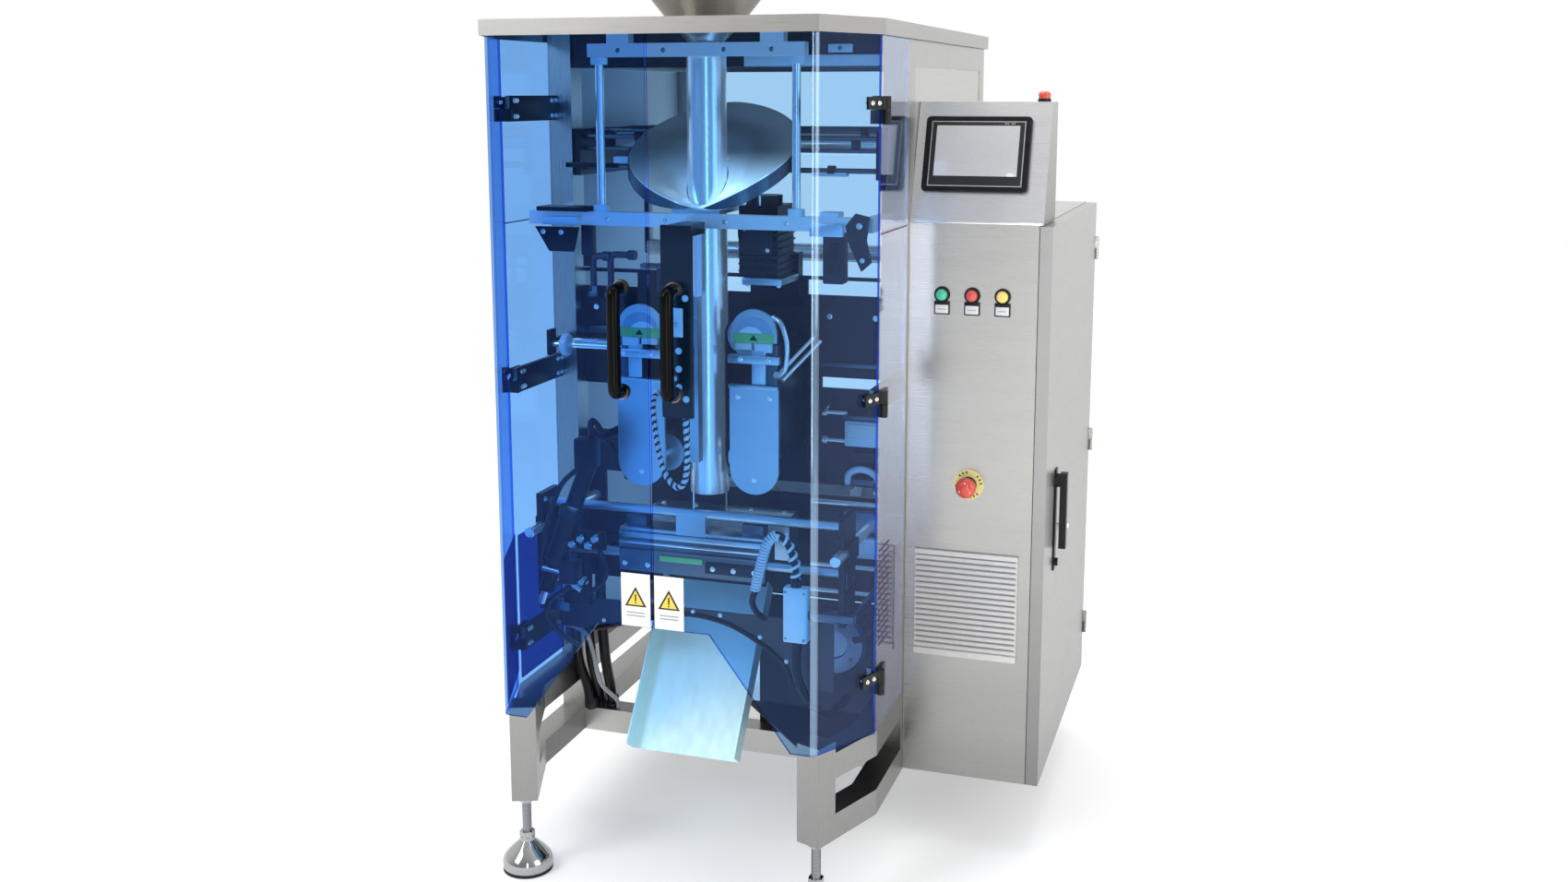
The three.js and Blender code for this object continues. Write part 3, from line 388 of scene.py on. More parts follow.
def paint_cad():
    """Gives every CAD node that stays in view its material."""
    finishes = {
        STEEL: ["rear_upper_beam", "cabinet_body", "side_panel_left", "side_panel_right"],
        STEEL_SHADED_SIDE: ["cabinet_door"],
        STEEL_PAINTED_LIGHT: ["screen_housing"],
        STEEL_TOP: ["top_plate", "lower_cross_rail", "rear_cross_rail"],
        STEEL_UPRIGHT: ["side_frame_left", "side_frame_right"],
        CHUTE: ["bag_chute"],
        ALUMINIUM: [
            "upper_pulley_left", "upper_pulley_right", "lower_pulley_left", "lower_pulley_right",
            "sealer_bar", "front_jaw", "rear_jaw",
        ],
        ALUMINIUM_PAINTED_GLOW: ["crossbar", "upper_bar"],
        # Painted shade: the upper cross beam gets the dark paint.
        DARK_PLATE_AND_SHADE: ["upper_cross_beam"],
        BLACK: [
            "roller_plate_left", "roller_plate_right", "belt_motor", "sealer_bracket", "jaw_drive",
            "cabinet_lever",
        ],
        RUBBER: ["pull_belt_left", "pull_belt_right"],
        ACRYLIC_INNER: ["side_window_left"],
        ACRYLIC_SIDE: ["side_window_right"],
    }
    for material, names in finishes.items():
        for name in names:
            mesh = NODES[name].data
            mesh.materials.clear()
            mesh.materials.append(material)
            mesh.shade_smooth()
            mesh.set_sharp_from_angle(angle=math.radians(32))
    # Painted light: the side panels' inner faces get the near white.
    repaint("side_panel_left", INNER_PAINTED_LIGHT, lambda p: p.x > -370.2)
    repaint("side_panel_right", INNER_PAINTED_LIGHT, lambda p: p.x < 370.2)
    # Painted shade: the housing's right side faces get the darker steel copy.
    shaded_side_x = mm("screen_housing")[1].x - 1
    repaint("screen_housing", STEEL_SHADED_SIDE, lambda p: p.x > shaded_side_x)
    repaint("front_jaw", BLACK, lambda p: abs(p.x) > 289)
    repaint("front_jaw", DARK_STEEL_AND_SHADE, lambda p: abs(p.x) < 151 and p.z < 659)


def repaint(node, material, chosen):
    """Gives the chosen faces of a CAD node another material. The test takes the face's middle."""
    piece = NODES[node]
    piece.data.materials.append(material)
    index = len(piece.data.materials) - 1
    for face in piece.data.polygons:
        middle = (piece.matrix_world @ face.center - at(0, 0, 0)) * 1000
        if chosen(middle):
            face.material_index = index


# ---------------------------------------------------------------- mesh tools

class Shape:
    """Solids gathered into one mesh, placed in the machine's millimetres."""

    def __init__(self):
        self.bm = bmesh.new()
        self.slots = [None]

    def paint(self, faces, material):
        if material not in self.slots:
            self.slots.append(material)
        for face in faces:
            face.material_index = self.slots.index(material)

    def _place(self, verts, matrix, material):
        bmesh.ops.transform(self.bm, matrix=matrix, verts=verts)
        faces = {face for vert in verts for face in vert.link_faces}
        self.paint(faces, material)

    def box(self, x, y, z, bevel=0.0, material=None, turn=None):
        """A block between the given pairs of limits, turned about its middle if asked."""
        made = bmesh.ops.create_cube(self.bm, size=1)["verts"]
        size = Matrix.Diagonal((x[1] - x[0], y[1] - y[0], z[1] - z[0], 1))
        middle = Matrix.Translation(((x[0] + x[1]) / 2, (y[0] + y[1]) / 2, (z[0] + z[1]) / 2))
        bmesh.ops.transform(self.bm, matrix=size, verts=made)
        if bevel:
            edges = list({edge for vert in made for edge in vert.link_edges})
            result = bmesh.ops.bevel(
                self.bm, geom=edges, offset=bevel, segments=2, affect="EDGES", profile=0.5
            )
            made = list({vert for face in result["faces"] for vert in face.verts})
        self._place(made, middle @ (turn or Matrix.Identity(4)), material)
        return self

    def rod(self, start, end, radius, sides=24, material=None):
        """A round bar from start to end."""
        start, end = Vector(start), Vector(end)
        along = end - start
        made = bmesh.ops.create_cone(
            self.bm, cap_ends=True, segments=sides, radius1=radius, radius2=radius, depth=along.length,
        )["verts"]
        turn = along.to_track_quat("Z", "Y").to_matrix().to_4x4()
        self._place(made, Matrix.Translation((start + end) / 2) @ turn, material)
        return self

    def bolt(self, place, outward, size=5.0, material=None):
        """A hex head on a washer, facing outward."""
        place, outward = Vector(place), Vector(outward).normalized()
        self.rod(place, place + outward * size * 0.2, size * 1.15, 20, material)
        self.rod(place, place + outward * size * 0.85, size * 0.85, 6, material)
        return self

    def lathe(self, place, axis, outline, sides=48, material=None):
        """An outline of (radius, height) pairs turned about an axis through place."""
        rings = []
        for radius, height in outline:
            angles = turn_angles(sides) if radius > 0 else [0]
            points = [(radius * math.cos(a), radius * math.sin(a), height) for a in angles]
            rings.append([self.bm.verts.new(point) for point in points])
        faces = []
        for low, high in zip(rings, rings[1:]):
            for i in range(sides):
                j = (i + 1) % sides
                corners = [low[i % len(low)], low[j % len(low)], high[j % len(high)], high[i % len(high)]]
                corners = list(dict.fromkeys(corners))
                if len(corners) > 2:
                    faces.append(self.bm.faces.new(corners))
        bmesh.ops.recalc_face_normals(self.bm, faces=faces)
        turn = Vector(axis).to_track_quat("Z", "Y").to_matrix().to_4x4()
        self._place([vert for ring in rings for vert in ring], Matrix.Translation(place) @ turn, material)
        return self


    def skin(self, rows, loop=False):
        """Faces through rings of points with as many points each: a closed solid, or a loop of rings."""
        rings = [[self.bm.verts.new(point) for point in row] for row in rows]
        faces = [] if loop else [self.bm.faces.new(rings[0]), self.bm.faces.new(rings[-1])]
        ahead = rings[1:] + rings[:1] if loop else rings[1:]
        for low, high in zip(rings, ahead):
            for i in range(len(low)):
                j = (i + 1) % len(low)
                faces.append(self.bm.faces.new([low[i], low[j], high[j], high[i]]))
        bmesh.ops.recalc_face_normals(self.bm, faces=faces)
        return faces


    def loft(self, rows, material=None):
        """A closed solid through rings of points."""
        self.paint(self.skin(rows), material)
        return self

    def prism(self, outline, low, high, axis="z", material=None):
        """A flat outline extruded along an axis: (x, y) along z, (x, z) along y or (y, z) along x."""
        order = {
            "z": lambda a, b, c: (a, b, c),
            "y": lambda a, b, c: (a, c, b),
            "x": lambda a, b, c: (c, a, b),
        }
        return self.loft([[order[axis](a, b, c) for a, b in outline] for c in (low, high)], material)

    def plate(self, x, y, z, windows, material=None):
        """An upright plate facing the front, open at each window of (x limits, z limits)."""
        xs = sorted({*x, *(v for window in windows for v in window[0])})
        zs = sorted({*z, *(v for window in windows for v in window[1])})
        verts = {}

        def vert(i, j, side):
            key = (i, j, side)
            if key not in verts:
                verts[key] = self.bm.verts.new((xs[i], y[side], zs[j]))
            return verts[key]

        def solid(i, j):
            if not (0 <= i < len(xs) - 1 and 0 <= j < len(zs) - 1):
                return False
            u, w = (xs[i] + xs[i + 1]) / 2, (zs[j] + zs[j + 1]) / 2
            return not any(a[0] < u < a[1] and b[0] < w < b[1] for a, b in windows)

        faces = []
        for i in range(len(xs) - 1):
            for j in range(len(zs) - 1):
                if not solid(i, j):
                    continue
                ring = [(i, j), (i + 1, j), (i + 1, j + 1), (i, j + 1)]
                faces.append(self.bm.faces.new([vert(*c, 0) for c in ring]))
                faces.append(self.bm.faces.new([vert(*c, 1) for c in reversed(ring)]))
                beside = [(i, j - 1), (i + 1, j), (i, j + 1), (i - 1, j)]
                for k, cell in enumerate(beside):
                    if not solid(*cell):
                        a, b = ring[k], ring[(k + 1) % 4]
                        faces.append(self.bm.faces.new([vert(*b, 0), vert(*a, 0), vert(*a, 1), vert(*b, 1)]))
        self.paint(faces, material)
        return self

    def tube(self, points, radius, sides=12, material=None):
        """A round tube along a smooth path through the points."""
        return self.loft([
            [point + (side * math.cos(a) + up * math.sin(a)) * radius for a in turn_angles(sides)]
            for point, side, up in framed(smooth_path(points))
        ], material)

    def done(self, name, material, body, replaced=(), slot=None, smooth=35):
        """Makes the piece, in row metres, and sets it riding on its body."""
        bmesh.ops.scale(self.bm, vec=(0.001,) * 3, verts=self.bm.verts)
        bmesh.ops.translate(self.bm, vec=at(0, 0, 0), verts=self.bm.verts)
        mesh = bpy.data.meshes.new(name)
        self.bm.to_mesh(mesh)
        self.bm.free()
        for entry in (material, *self.slots[1:]):
            mesh.materials.append(entry)
        mesh.shade_smooth()
        mesh.set_sharp_from_angle(angle=math.radians(smooth))
        piece = bpy.data.objects.new(name, mesh)
        show(piece)
        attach(piece, body)
        if replaced:
            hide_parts(*replaced)
        return piece


def turn_angles(count):
    """Angles spaced evenly round a full turn."""
    return [2 * math.pi * i / count for i in range(count)]


def rounded(half_x, half_z, radius, steps=5):
    """A rectangle's outline with rounded corners, about its middle."""
    outline = []
    for k, (sx, sz) in enumerate(((1, 1), (-1, 1), (-1, -1), (1, -1))):
        for i in range(steps + 1):
            angle = math.radians(90 * k + 90 * i / steps)
            x = sx * (half_x - radius) + radius * math.cos(angle)
            z = sz * (half_z - radius) + radius * math.sin(angle)
            outline.append((x, z))
    return outline


def smooth_path(points, steps=8):
    """A Catmull-Rom line through the points."""
    knots = [Vector(p) for p in points]
    knots = [knots[0] * 2 - knots[1], *knots, knots[-1] * 2 - knots[-2]]
    path = []
    for a, b, c, d in zip(knots, knots[1:], knots[2:], knots[3:]):
        for i in range(steps):
            t = i / steps
            square = 2 * a - 5 * b + 4 * c - d
            cube = 3 * b - a - 3 * c + d
            path.append(0.5 * (2 * b + (c - a) * t + square * t * t + cube * t ** 3))
    path.append(knots[-2])
    return path


def framed(path):
    """Each point of a path, with two directions across it that turn as little as they can."""
    side = None
    for i, point in enumerate(path):
        along = (path[min(i + 1, len(path) - 1)] - path[max(i - 1, 0)]).normalized()
        side = side or along.orthogonal()
        side = (side - along * side.dot(along)).normalized()
        yield point, side, along.cross(side)


def spiral(points, radius, pitch, per_turn=8):
    """The points of a helix wound round a smooth path."""
    path = smooth_path(points, 12)
    result = []
    travelled = 0.0
    side = (path[1] - path[0]).orthogonal().normalized()
    for here, ahead in zip(path, path[1:]):
        along = (ahead - here).normalized()
        side = (side - along * side.dot(along)).normalized()
        up = along.cross(side)
        length = (ahead - here).length
        count = max(1, int(length / pitch * per_turn))
        for i in range(count):
            share = i / count
            angle = 2 * math.pi * (travelled + share * length) / pitch
            result.append(here.lerp(ahead, share) + (side * math.cos(angle) + up * math.sin(angle)) * radius)
        travelled += length
    return result


# ---------------------------------------------------------------- doors

SIDE_HALF = mm("top_plate")[1].x - 8
FRONT_HALF = SIDE_HALF - 66
KINK_Y = 171
SHEET = 5
HINGE_HEIGHTS = (418, 945, 1469)
HINGE_X = SIDE_HALF + 8
HINGE_Y = KINK_Y + 9
KNUCKLE = 7.4
DOOR_TOP = mm("door_right")[1].z
DOOR_LOW = 335
WING_LOW = mm("door_right")[0].z
CUT_TOP = 540
CUT_CORNERS = ((108, CUT_TOP), (261, DOOR_LOW))
BEND = 16
SEAM_GAP = 1.5
PLATE_Y = mm("mounting_plate")[0].y


def bent_plan():
    """Outer and inner plan points of the right door, from the seam round the bend to the hinges."""
    taper = Vector((SIDE_HALF - FRONT_HALF, KINK_Y)).normalized()
    turn = math.atan2(taper.y, taper.x)
    tangent = BEND * math.tan(turn / 2)
    centre = Vector((FRONT_HALF - tangent, BEND))
    outer, inner = [Vector((SEAM_GAP, 0))], [Vector((SEAM_GAP, SHEET))]
    steps = 8
    for i in range(steps + 1):
        angle = -math.pi / 2 + turn * i / steps
        direction = Vector((math.cos(angle), math.sin(angle)))
        outer.append(centre + direction * BEND)
        inner.append(centre + direction * (BEND - SHEET))
    normal = Vector((-taper.y, taper.x))
    outer.append(Vector((SIDE_HALF, KINK_Y)))
    inner.append(Vector((SIDE_HALF, KINK_Y)) + normal * SHEET)
    return outer, inner


def bent_door(side, body):
    """One acrylic door: flat front with half of the chute's cut-out, a bend and a wing to the hinges."""
    shape = Shape()
    bm = shape.bm
    layers, bends, wings = [], [], []
    for plan in bent_plan():
        flat_y = plan[0].y
        column = [(p, WING_LOW if i == len(plan) - 1 else DOOR_LOW) for i, p in enumerate(plan)]
        low = [bm.verts.new((p.x * side, p.y, z)) for p, z in column]
        low[0].co.z = CUT_TOP
        high = [bm.verts.new((p.x * side, p.y, DOOR_TOP)) for p in plan]
        cut = [bm.verts.new((x * side, flat_y, z)) for x, z in CUT_CORNERS]
        faces = [bm.faces.new([low[0], *cut, low[1], high[1], high[0]])]
        for i in range(1, len(plan) - 1):
            faces.append(bm.faces.new([low[i], low[i + 1], high[i + 1], high[i]]))
        bends += faces[2:-2]
        wings.append(faces[-1])
        layers.append([low[0], *cut, *low[1:], *high[::-1]])
    outer, inner = layers
    rim = []
    for i in range(len(outer)):
        j = (i + 1) % len(outer)
        rim.append(bm.faces.new([outer[i], outer[j], inner[j], inner[i]]))
    bmesh.ops.recalc_face_normals(bm, faces=list(bm.faces))
    front = ACRYLIC_RIGHT if side > 0 else ACRYLIC_LEFT
    shape.paint([face for face in bm.faces if face not in rim], front)
    # Painted highlight on the right door's bend; painted shade on the left door's bend and wing.
    shape.paint(bends, ACRYLIC_BEND_HIGHLIGHT if side > 0 else ACRYLIC_SHADE)
    shape.paint(wings, ACRYLIC_WING if side > 0 else ACRYLIC_SHADE)
    shape.paint(rim, ACRYLIC_EDGE)
    shape.done(f"{body}_sheet", front, body, [body], "acrylic", smooth=25)


def lower_painted_shade():
    """Deep blue sheet lining the lower half of the left door's wing: painted shade, a dark sheet where the
    wing looks dark.
    """
    inner = bent_plan()[1]
    start, end = inner[-2], inner[-1]
    inward = (start - bent_plan()[0][-2]).normalized()
    corners = [start + inward * 0.4, end + inward * 0.4, end + inward * 1.6, start + inward * 1.6]
    outline = [(-corner.x, corner.y) for corner in corners]
    Shape().prism(outline, 352, 636).done("lower_painted_shade", ACRYLIC_DEEP, "door_left")


def hinge_straps(side, body):
    """The straps, knuckles and bolts that turn with one door."""
    taper = Vector(((SIDE_HALF - FRONT_HALF) * side, KINK_Y, 0)).normalized()
    out = Vector((taper.y * side, -taper.x * side, 0))
    edge = Vector((SIDE_HALF * side, KINK_Y, 0))
    hinge = Vector((HINGE_X * side, HINGE_Y, 0))
    start = edge - taper * 44
    strap = [start + out * 0.3, edge + out * 0.3, edge + out * 4.5, start + out * 4.5]
    lug = [edge + out * 0.3, edge + out * 5, hinge + out * 5, hinge - out * 4]
    shape = Shape()
    for height in HINGE_HEIGHTS:
        for plan in (strap, lug):
            shape.prism([(p.x, p.y) for p in plan], height + 1, height + 23)
        shape.rod((hinge.x, hinge.y, height + 0.6), (hinge.x, hinge.y, height + 24), KNUCKLE)
        for back in (12, 32):
            for outward, depth in ((out, 4.5), (-out, 5.2)):
                place = edge - taper * back + outward * depth
                shape.bolt((place.x, place.y, height + 12), outward, 3.6, POLISHED)
    shape.done(f"{body}_hinges", BLACK, body)


def handle_feet(side, body):
    """The handle's flanges, brass rings and inner nuts on one door."""
    low, high = mm(f"door_handle_{SIDES[side]}")
    x = (low.x + high.x) / 2
    flange = [(0, 0), (14, 0), (14, 3), (11.5, 6), (10.6, 9), (0, 9)]
    ring = [(12.1, 0), (12.9, 0), (12.9, 1.2), (12.1, 1.2)]
    nut = [(0, 0), (11, 0), (11, 2.5), (8, 3.5), (0, 3.5)]
    shape = Shape()
    for z in (low.z + 10, high.z - 10):
        shape.lathe((x, -0.2, z), FORWARD, flange, 32)
        shape.lathe((x, -9.4, z), FORWARD, ring, 32, BRASS)
        shape.lathe((x, SHEET + 0.2, z), BACK, nut, 32, BRASS)
        shape.bolt((x, SHEET + 3.5, z), BACK, 5, POLISHED)
    shape.done(f"{body}_handle_feet", BLACK, body)


def warning_sign(side, body):
    """A white plate with a plain warning triangle and two grey bars in place of words."""
    x = pair(4, 61, side)
    centre = sum(x) / 2
    shape = Shape()
    shape.box(x, (-0.9, -0.2), (541, 641), 0.3)
    outer = (21, 579, 616, (-1.3, -0.9), INK)
    inner = (15.5, 582, 609.5, (-1.6, -1.3), YELLOW)
    for half, foot, top, y, colour in (outer, inner):
        shape.prism([(centre - half, foot), (centre + half, foot), (centre, top)], *y, "y", colour)
    for z in ((589, 602), (584.5, 587)):
        shape.box(around(centre, 1.4), (-1.9, -1.6), z, 0, INK)
    for z in (560, 566):
        shape.box(around(centre, 18), (-1.2, -0.9), (z, z + 2.2), 0, GREY)
    shape.done(f"{body}_sign", LABEL, body)


def hinge_bars(side):
    """Black bars inside the side windows, with their bolts and the fixed hinge knuckles."""
    post = PLATE_Y - 50
    inner_x = 354 * side
    hinge_x = HINGE_X * side
    shape = Shape()
    for height in HINGE_HEIGHTS:
        shape.box(pair(354, 364, side), (KINK_Y + 7, post + 24), around(height, 24.5), 1)
        for y in (KINK_Y + 24, KINK_Y + 34, post - 26, post - 8):
            for z in around(height, 15):
                shape.bolt((inner_x, y, z), (-side, 0, 0), 4.2, POLISHED)
        knuckle_z = (height - 24.4, height - 0.2)
        shape.box(pair(352, SIDE_HALF + 9, side), around(HINGE_Y, 4.4), knuckle_z, 0.5)
        shape.rod(*[(hinge_x, HINGE_Y, z) for z in knuckle_z], KNUCKLE)
        leaf = pair(SIDE_HALF + 0.4, SIDE_HALF + 4.5, side)
        shape.box(leaf, (KINK_Y + 14, KINK_Y + 56), (height - 24, height + 22), 0.8)
        for z in (height - 13, height + 11):
            shape.bolt(((SIDE_HALF + 4.5) * side, KINK_Y + 40, z), (side, 0, 0), 4.2, STUD)
    shape.done(f"hinge_bars_{SIDES[side]}", BLACK, "frame")


def make_doors():
    for side, name in SIDES.items():
        body = f"door_{name}"
        bent_door(side, body)
        hinge_straps(side, body)
        handle_feet(side, body)
        warning_sign(side, body)
        hinge_bars(side)
        door_handle(side, body)
        side_window_trim(side)
    hinge_guard()
    lower_painted_shade()


# ---------------------------------------------------------------- electrical cabinet

CABINET_FRONT = mm("cabinet_body")[0].y
CONTROL_X = 497.5
CONTROL_STEP = 58
BUTTON_Z = 1120
STOP_Z = 752
HINGE_ROWS = (260, 704, 1150)


def push_button(step, lens, cad_node):
    """A lens cap that moves with its button, and its fixed bezel over a blank legend plate."""
    x = CONTROL_X + step * CONTROL_STEP
    front = CABINET_FRONT
    cap = [(0, 0), (5, 0.5), (8.4, 2), (10.4, 5), (11, 8), (11, 12.5), (8, 12.5), (8, 32), (0, 32)]
    shape = Shape().lathe((x, front - 16, BUTTON_Z), BACK, cap, 40)
    shape.done(f"{cad_node}_cap", lens, cad_node, [cad_node])
    bezel = [(11.6, 0), (15.5, 0), (15.5, 3), (13.5, 6.5), (11.6, 6.5), (11.6, 0)]
    shape = Shape().lathe((x, front - 0.3, BUTTON_Z), FORWARD, bezel, 40)
    for half, y, low, high, bevel, material in (
        (15, (-3.4, -0.3), -19, -12.5, 0.8, None),
        (15, (-3.6, -0.3), -38, -17, 0.8, None),
        (12.5, (-4.0, -3.5), -35.5, -19.5, 0.2, LABEL),
        (8, (-4.2, -4.0), -28.5, -27, 0, GREY),
    ):
        depth = [front + v for v in y]
        shape.box(around(x, half), depth, (BUTTON_Z + low, BUTTON_Z + high), bevel, material)
    shape.done(f"{cad_node}_bezel", BLACK, "frame")


def emergency_stop():
    """The red mushroom head, and the yellow ring and black collar behind it."""
    front = CABINET_FRONT
    head = [(0, -18), (10, -18), (10, 18), (13, 20), (17, 23), (19.6, 26), (20, 29), (19.4, 33)]
    head += [(16, 37.5), (10, 40.6), (4, 41.8), (0, 42)]
    shape = Shape().lathe((CONTROL_X, front, STOP_Z), FORWARD, head, 56)
    for k in range(3):
        angle = math.radians(90 + 120 * k)
        place = (CONTROL_X + 11 * math.cos(angle), front - 39.6, STOP_Z + 11 * math.sin(angle))
        shape.lathe(place, FORWARD, [(0, 0), (2, 0), (1.4, 0.8), (0, 0.9)], 12, LABEL)
    shape.done("emergency_stop_head", RED, "emergency_stop", ["emergency_stop"])
    disc = [(11, 0), (30, 0), (30, 1.6), (11, 1.6), (11, 0)]
    collar = [(11, 0), (16, 0), (16, 5), (14, 7), (11, 7), (11, 0)]
    shape = Shape().lathe((CONTROL_X, front - 0.3, STOP_Z), FORWARD, disc, 64)
    shape.lathe((CONTROL_X, front - 1.9, STOP_Z), FORWARD, collar, 40, BLACK)
    for k in range(20):
        if k % 5 < 3:
            angle = math.radians(18 * k + 9)
            x, z = CONTROL_X + 24.5 * math.cos(angle), STOP_Z + 24.5 * math.sin(angle)
            turn = Matrix.Rotation(-angle, 4, "Y")
            shape.box(around(x, 2.2), (front - 2.2, front - 1.9), around(z, 1.3), 0, INK, turn)
    shape.done("emergency_stop_ring", RING, "frame")


def grille():
    """Louvred cover of the cabinet's fan, low on its front."""
    front = CABINET_FRONT
    x0, x1, z0, z1 = 394, 597, 402, 616
    count, head, foot = 17, 9, 13
    pitch = (z1 - z0 - head - foot - 2) / count
    tilt = Matrix.Rotation(math.radians(-24), 4, "X")
    shape = Shape()
    shape.box((x0, x1), (front - 3, front - 0.3), (z0, z1), 1)
    for z in ((z1 - head, z1), (z0, z0 + foot)):
        shape.box((x0, x1), (front - 7, front - 2.8), z, 1.2)
    for i in range(count):
        z = z0 + foot + 1 + pitch * (i + 0.5)
        shape.box((x0 + 1, x1 - 1), (front - 7.5, front - 3.2), around(z, 3.2), 0.8, None, tilt)
        shape.box((x0 + 4, x1 - 4), (front - 3.3, front - 2.9), (z + 3.4, z + 6.4), 0, GREY)
    shape.done("cabinet_grille", GRILLE, "frame")


SCREEN_TILT = math.atan2(78, 226.7)
SCREEN_HALF = (101.5, 74.5)


def touch_screen():
    """The bezel, the pane and the status strip in the tilted face."""
    centre = centre_of("touch_screen")
    turn = Matrix.Rotation(-SCREEN_TILT, 4, "X")

    def local(x, y, z):
        return centre + turn.to_3x3() @ Vector((x, y, z))

    def slab(x, y, z, bevel, material):
        made = local((x[0] + x[1]) / 2, (y[0] + y[1]) / 2, (z[0] + z[1]) / 2)
        half = [abs(v[1] - v[0]) / 2 for v in (x, y, z)]
        shape.box(*[(made[k] - half[k], made[k] + half[k]) for k in range(3)], bevel, material, turn)

    half_x, half_z = SCREEN_HALF
    border = rounded(half_x, half_z, 9)
    inset = rounded(half_x - 2, half_z - 2, 8)
    layers = ((4.3, border), (-2.6, border), (-4.3, inset))
    shape = Shape().loft([[local(x, y, z) for x, z in outline] for y, outline in layers])
    slab((-90, 90), (-4.75, -4.2), (-64, 64), 0.2, GREY)
    slab((-88, 88), (-5.0, -4.6), (-62, 62), 0.15, INK)
    slab((-79.5, 79.5), (-5.25, -4.9), (-44, 55), 0.1, SCREEN)
    for x in (50, 62):
        slab((x, x + 8), (-5.2, -4.9), (58, 60), 0, GREY)
    shape.done("touch_screen_unit", BLACK, "frame", ["touch_screen"], "screen")


def housing_lamp():
    """A small red lamp on a black base, on top of the screen's housing."""
    corner = mm("screen_housing")[1]
    x, y, z = corner.x - 20, corner.y - 42, corner.z
    base = [(0, 0), (12.5, 0), (12.5, 5), (11, 6), (0, 6)]
    lens = [(0, 0), (11, 0), (11, 5), (11.6, 5), (11.6, 8), (10.6, 11), (7, 13.4), (0, 14)]
    shape = Shape().lathe((x, y, z + 0.2), UP, base, 32, BLACK)
    shape.lathe((x, y, z + 6), UP, lens, 32).done("housing_lamp", RED, "frame")


def cabinet_hinges():
    """The fixed halves of the cabinet door's hinges."""
    door = mm("cabinet_door")[1]
    x, y = door.x + 3.5, door.y + 4.5
    shape = Shape()
    for z in HINGE_ROWS:
        shape.rod((x, y, z - 26), (x, y, z - 0.5), 4, 20)
        shape.box((x - 34, x - 1), (door.y + 2.6, door.y + 5), (z - 25, z - 1), 0.6)
    shape.done("cabinet_hinge_posts", STEEL, "frame")


def cabinet_door_fittings():
    """The moving hinge halves, the lever's plate and the lock with its key."""
    door = mm("cabinet_door")[1]
    x, y = door.x + 3.5, door.y + 4.5
    shape = Shape()
    for z in HINGE_ROWS:
        shape.rod((x, y, z + 0.5), (x, y, z + 26), 4, 20, STEEL)
        shape.box((x - 20, x), (door.y + 0.3, door.y + 2.2), (z + 1, z + 25), 0.5, STEEL)
    low, high = mm("cabinet_lever")
    x, y = door.x, (low.y + high.y) / 2
    shape.box((x + 0.3, x + 3.2), around(y, 13), (low.z - 46, high.z + 8), 1.2)
    shape.rod((x + 3, y, low.z - 30), (x + 9, y, low.z - 30), 8, 28)
    key_y, key_z = y + 66, low.z + 28
    lock = [(0, 0), (10, 0), (10, 4), (8.5, 5.5), (0, 5.5)]
    shape.lathe((x + 0.3, key_y, key_z), (1, 0, 0), lock, 32, POLISHED)
    shape.box((x + 5.5, x + 20), around(key_y, 1.2), around(key_z, 5), 0.5, POLISHED)
    shape.done("cabinet_door_fittings", BLACK, "cabinet_door")


def cabinet_seam():
    """The flashing under the screen's housing and the dark seam down the cabinet's corner."""
    low, high = mm("cabinet_body")
    shape = Shape()
    shape.box((low.x + 0.5, high.x + 4), (low.y - 2.5, low.y + 1), (high.z + 1, high.z + 5), 0.5)
    shape.box((high.x - 0.8, high.x + 0.6), (low.y - 0.5, low.y - 0.1), (low.z + 1, high.z - 1), 0, INK)
    shape.done("cabinet_top_seam", POLISHED, "frame")


def cabinet_inside():
    """Back panel, rails, drives, contactors and trunking, seen with the cabinet's door open."""
    low, high = mm("cabinet_body")
    x = low.x + 8
    shape = Shape()
    shape.box((x, x + 3), (low.y + 60, high.y - 40), (low.z + 70, high.z - 70), 0.5)
    for z in (330, 560, 800, 1040):
        shape.box((x + 3, x + 12), (low.y + 90, high.y - 70), around(z, 17), 1, STEEL)
        shape.box((x + 3, x + 52), (low.y + 80, high.y - 60), (z - 115, z - 80), 1.5, GREY)
        for slit in range(24):
            y = low.y + 90 + slit * 22
            shape.box((x + 51, x + 53), (y, y + 6), (z - 113, z - 90), 0, INK)
    for k in range(4):
        y = low.y + 110 + k * 120
        shape.box((x + 12, x + 120), (y, y + 88), (975, 1125), 3, BLACK)
        shape.box((x + 119, x + 122), (y + 12, y + 76), (1070, 1110), 1, GREY)
        for z in (990, 1002, 1014):
            shape.box((x + 119, x + 121), (y + 10, y + 78), (z, z + 4), 0.5, INK)
    for k in range(9):
        y = low.y + 105 + k * 50
        shape.box((x + 12, x + 85), (y, y + 44), (765, 840), 2, BLACK if k % 3 else GREY)
        shape.box((x + 84, x + 88), (y + 12, y + 32), (785, 820), 1, LABEL)
    for k in range(26):
        y = low.y + 105 + k * 17
        shape.box((x + 12, x + 52), (y, y + 14), (535, 588), 1, GREEN_LABEL if k % 6 == 0 else GREY)
    shape.box((x + 12, x + 110), (low.y + 110, low.y + 290), (280, 400), 3, STEEL)
    shape.box((x + 12, x + 100), (low.y + 330, low.y + 540), (285, 395), 3, BLACK)
    shape.done("cabinet_equipment", PALE, "frame")


def make_cabinet():
    push_button(-1, GREEN_LENS, "start_button")
    push_button(0, RED_LENS, "stop_button")
    push_button(1, YELLOW_LENS, "jog_button")
    emergency_stop()
    grille()
    touch_screen()
    housing_lamp()
    cabinet_hinges()
    cabinet_door_fittings()
    cabinet_seam()
    cabinet_inside()


# ---------------------------------------------------------------- handles and acrylic trim

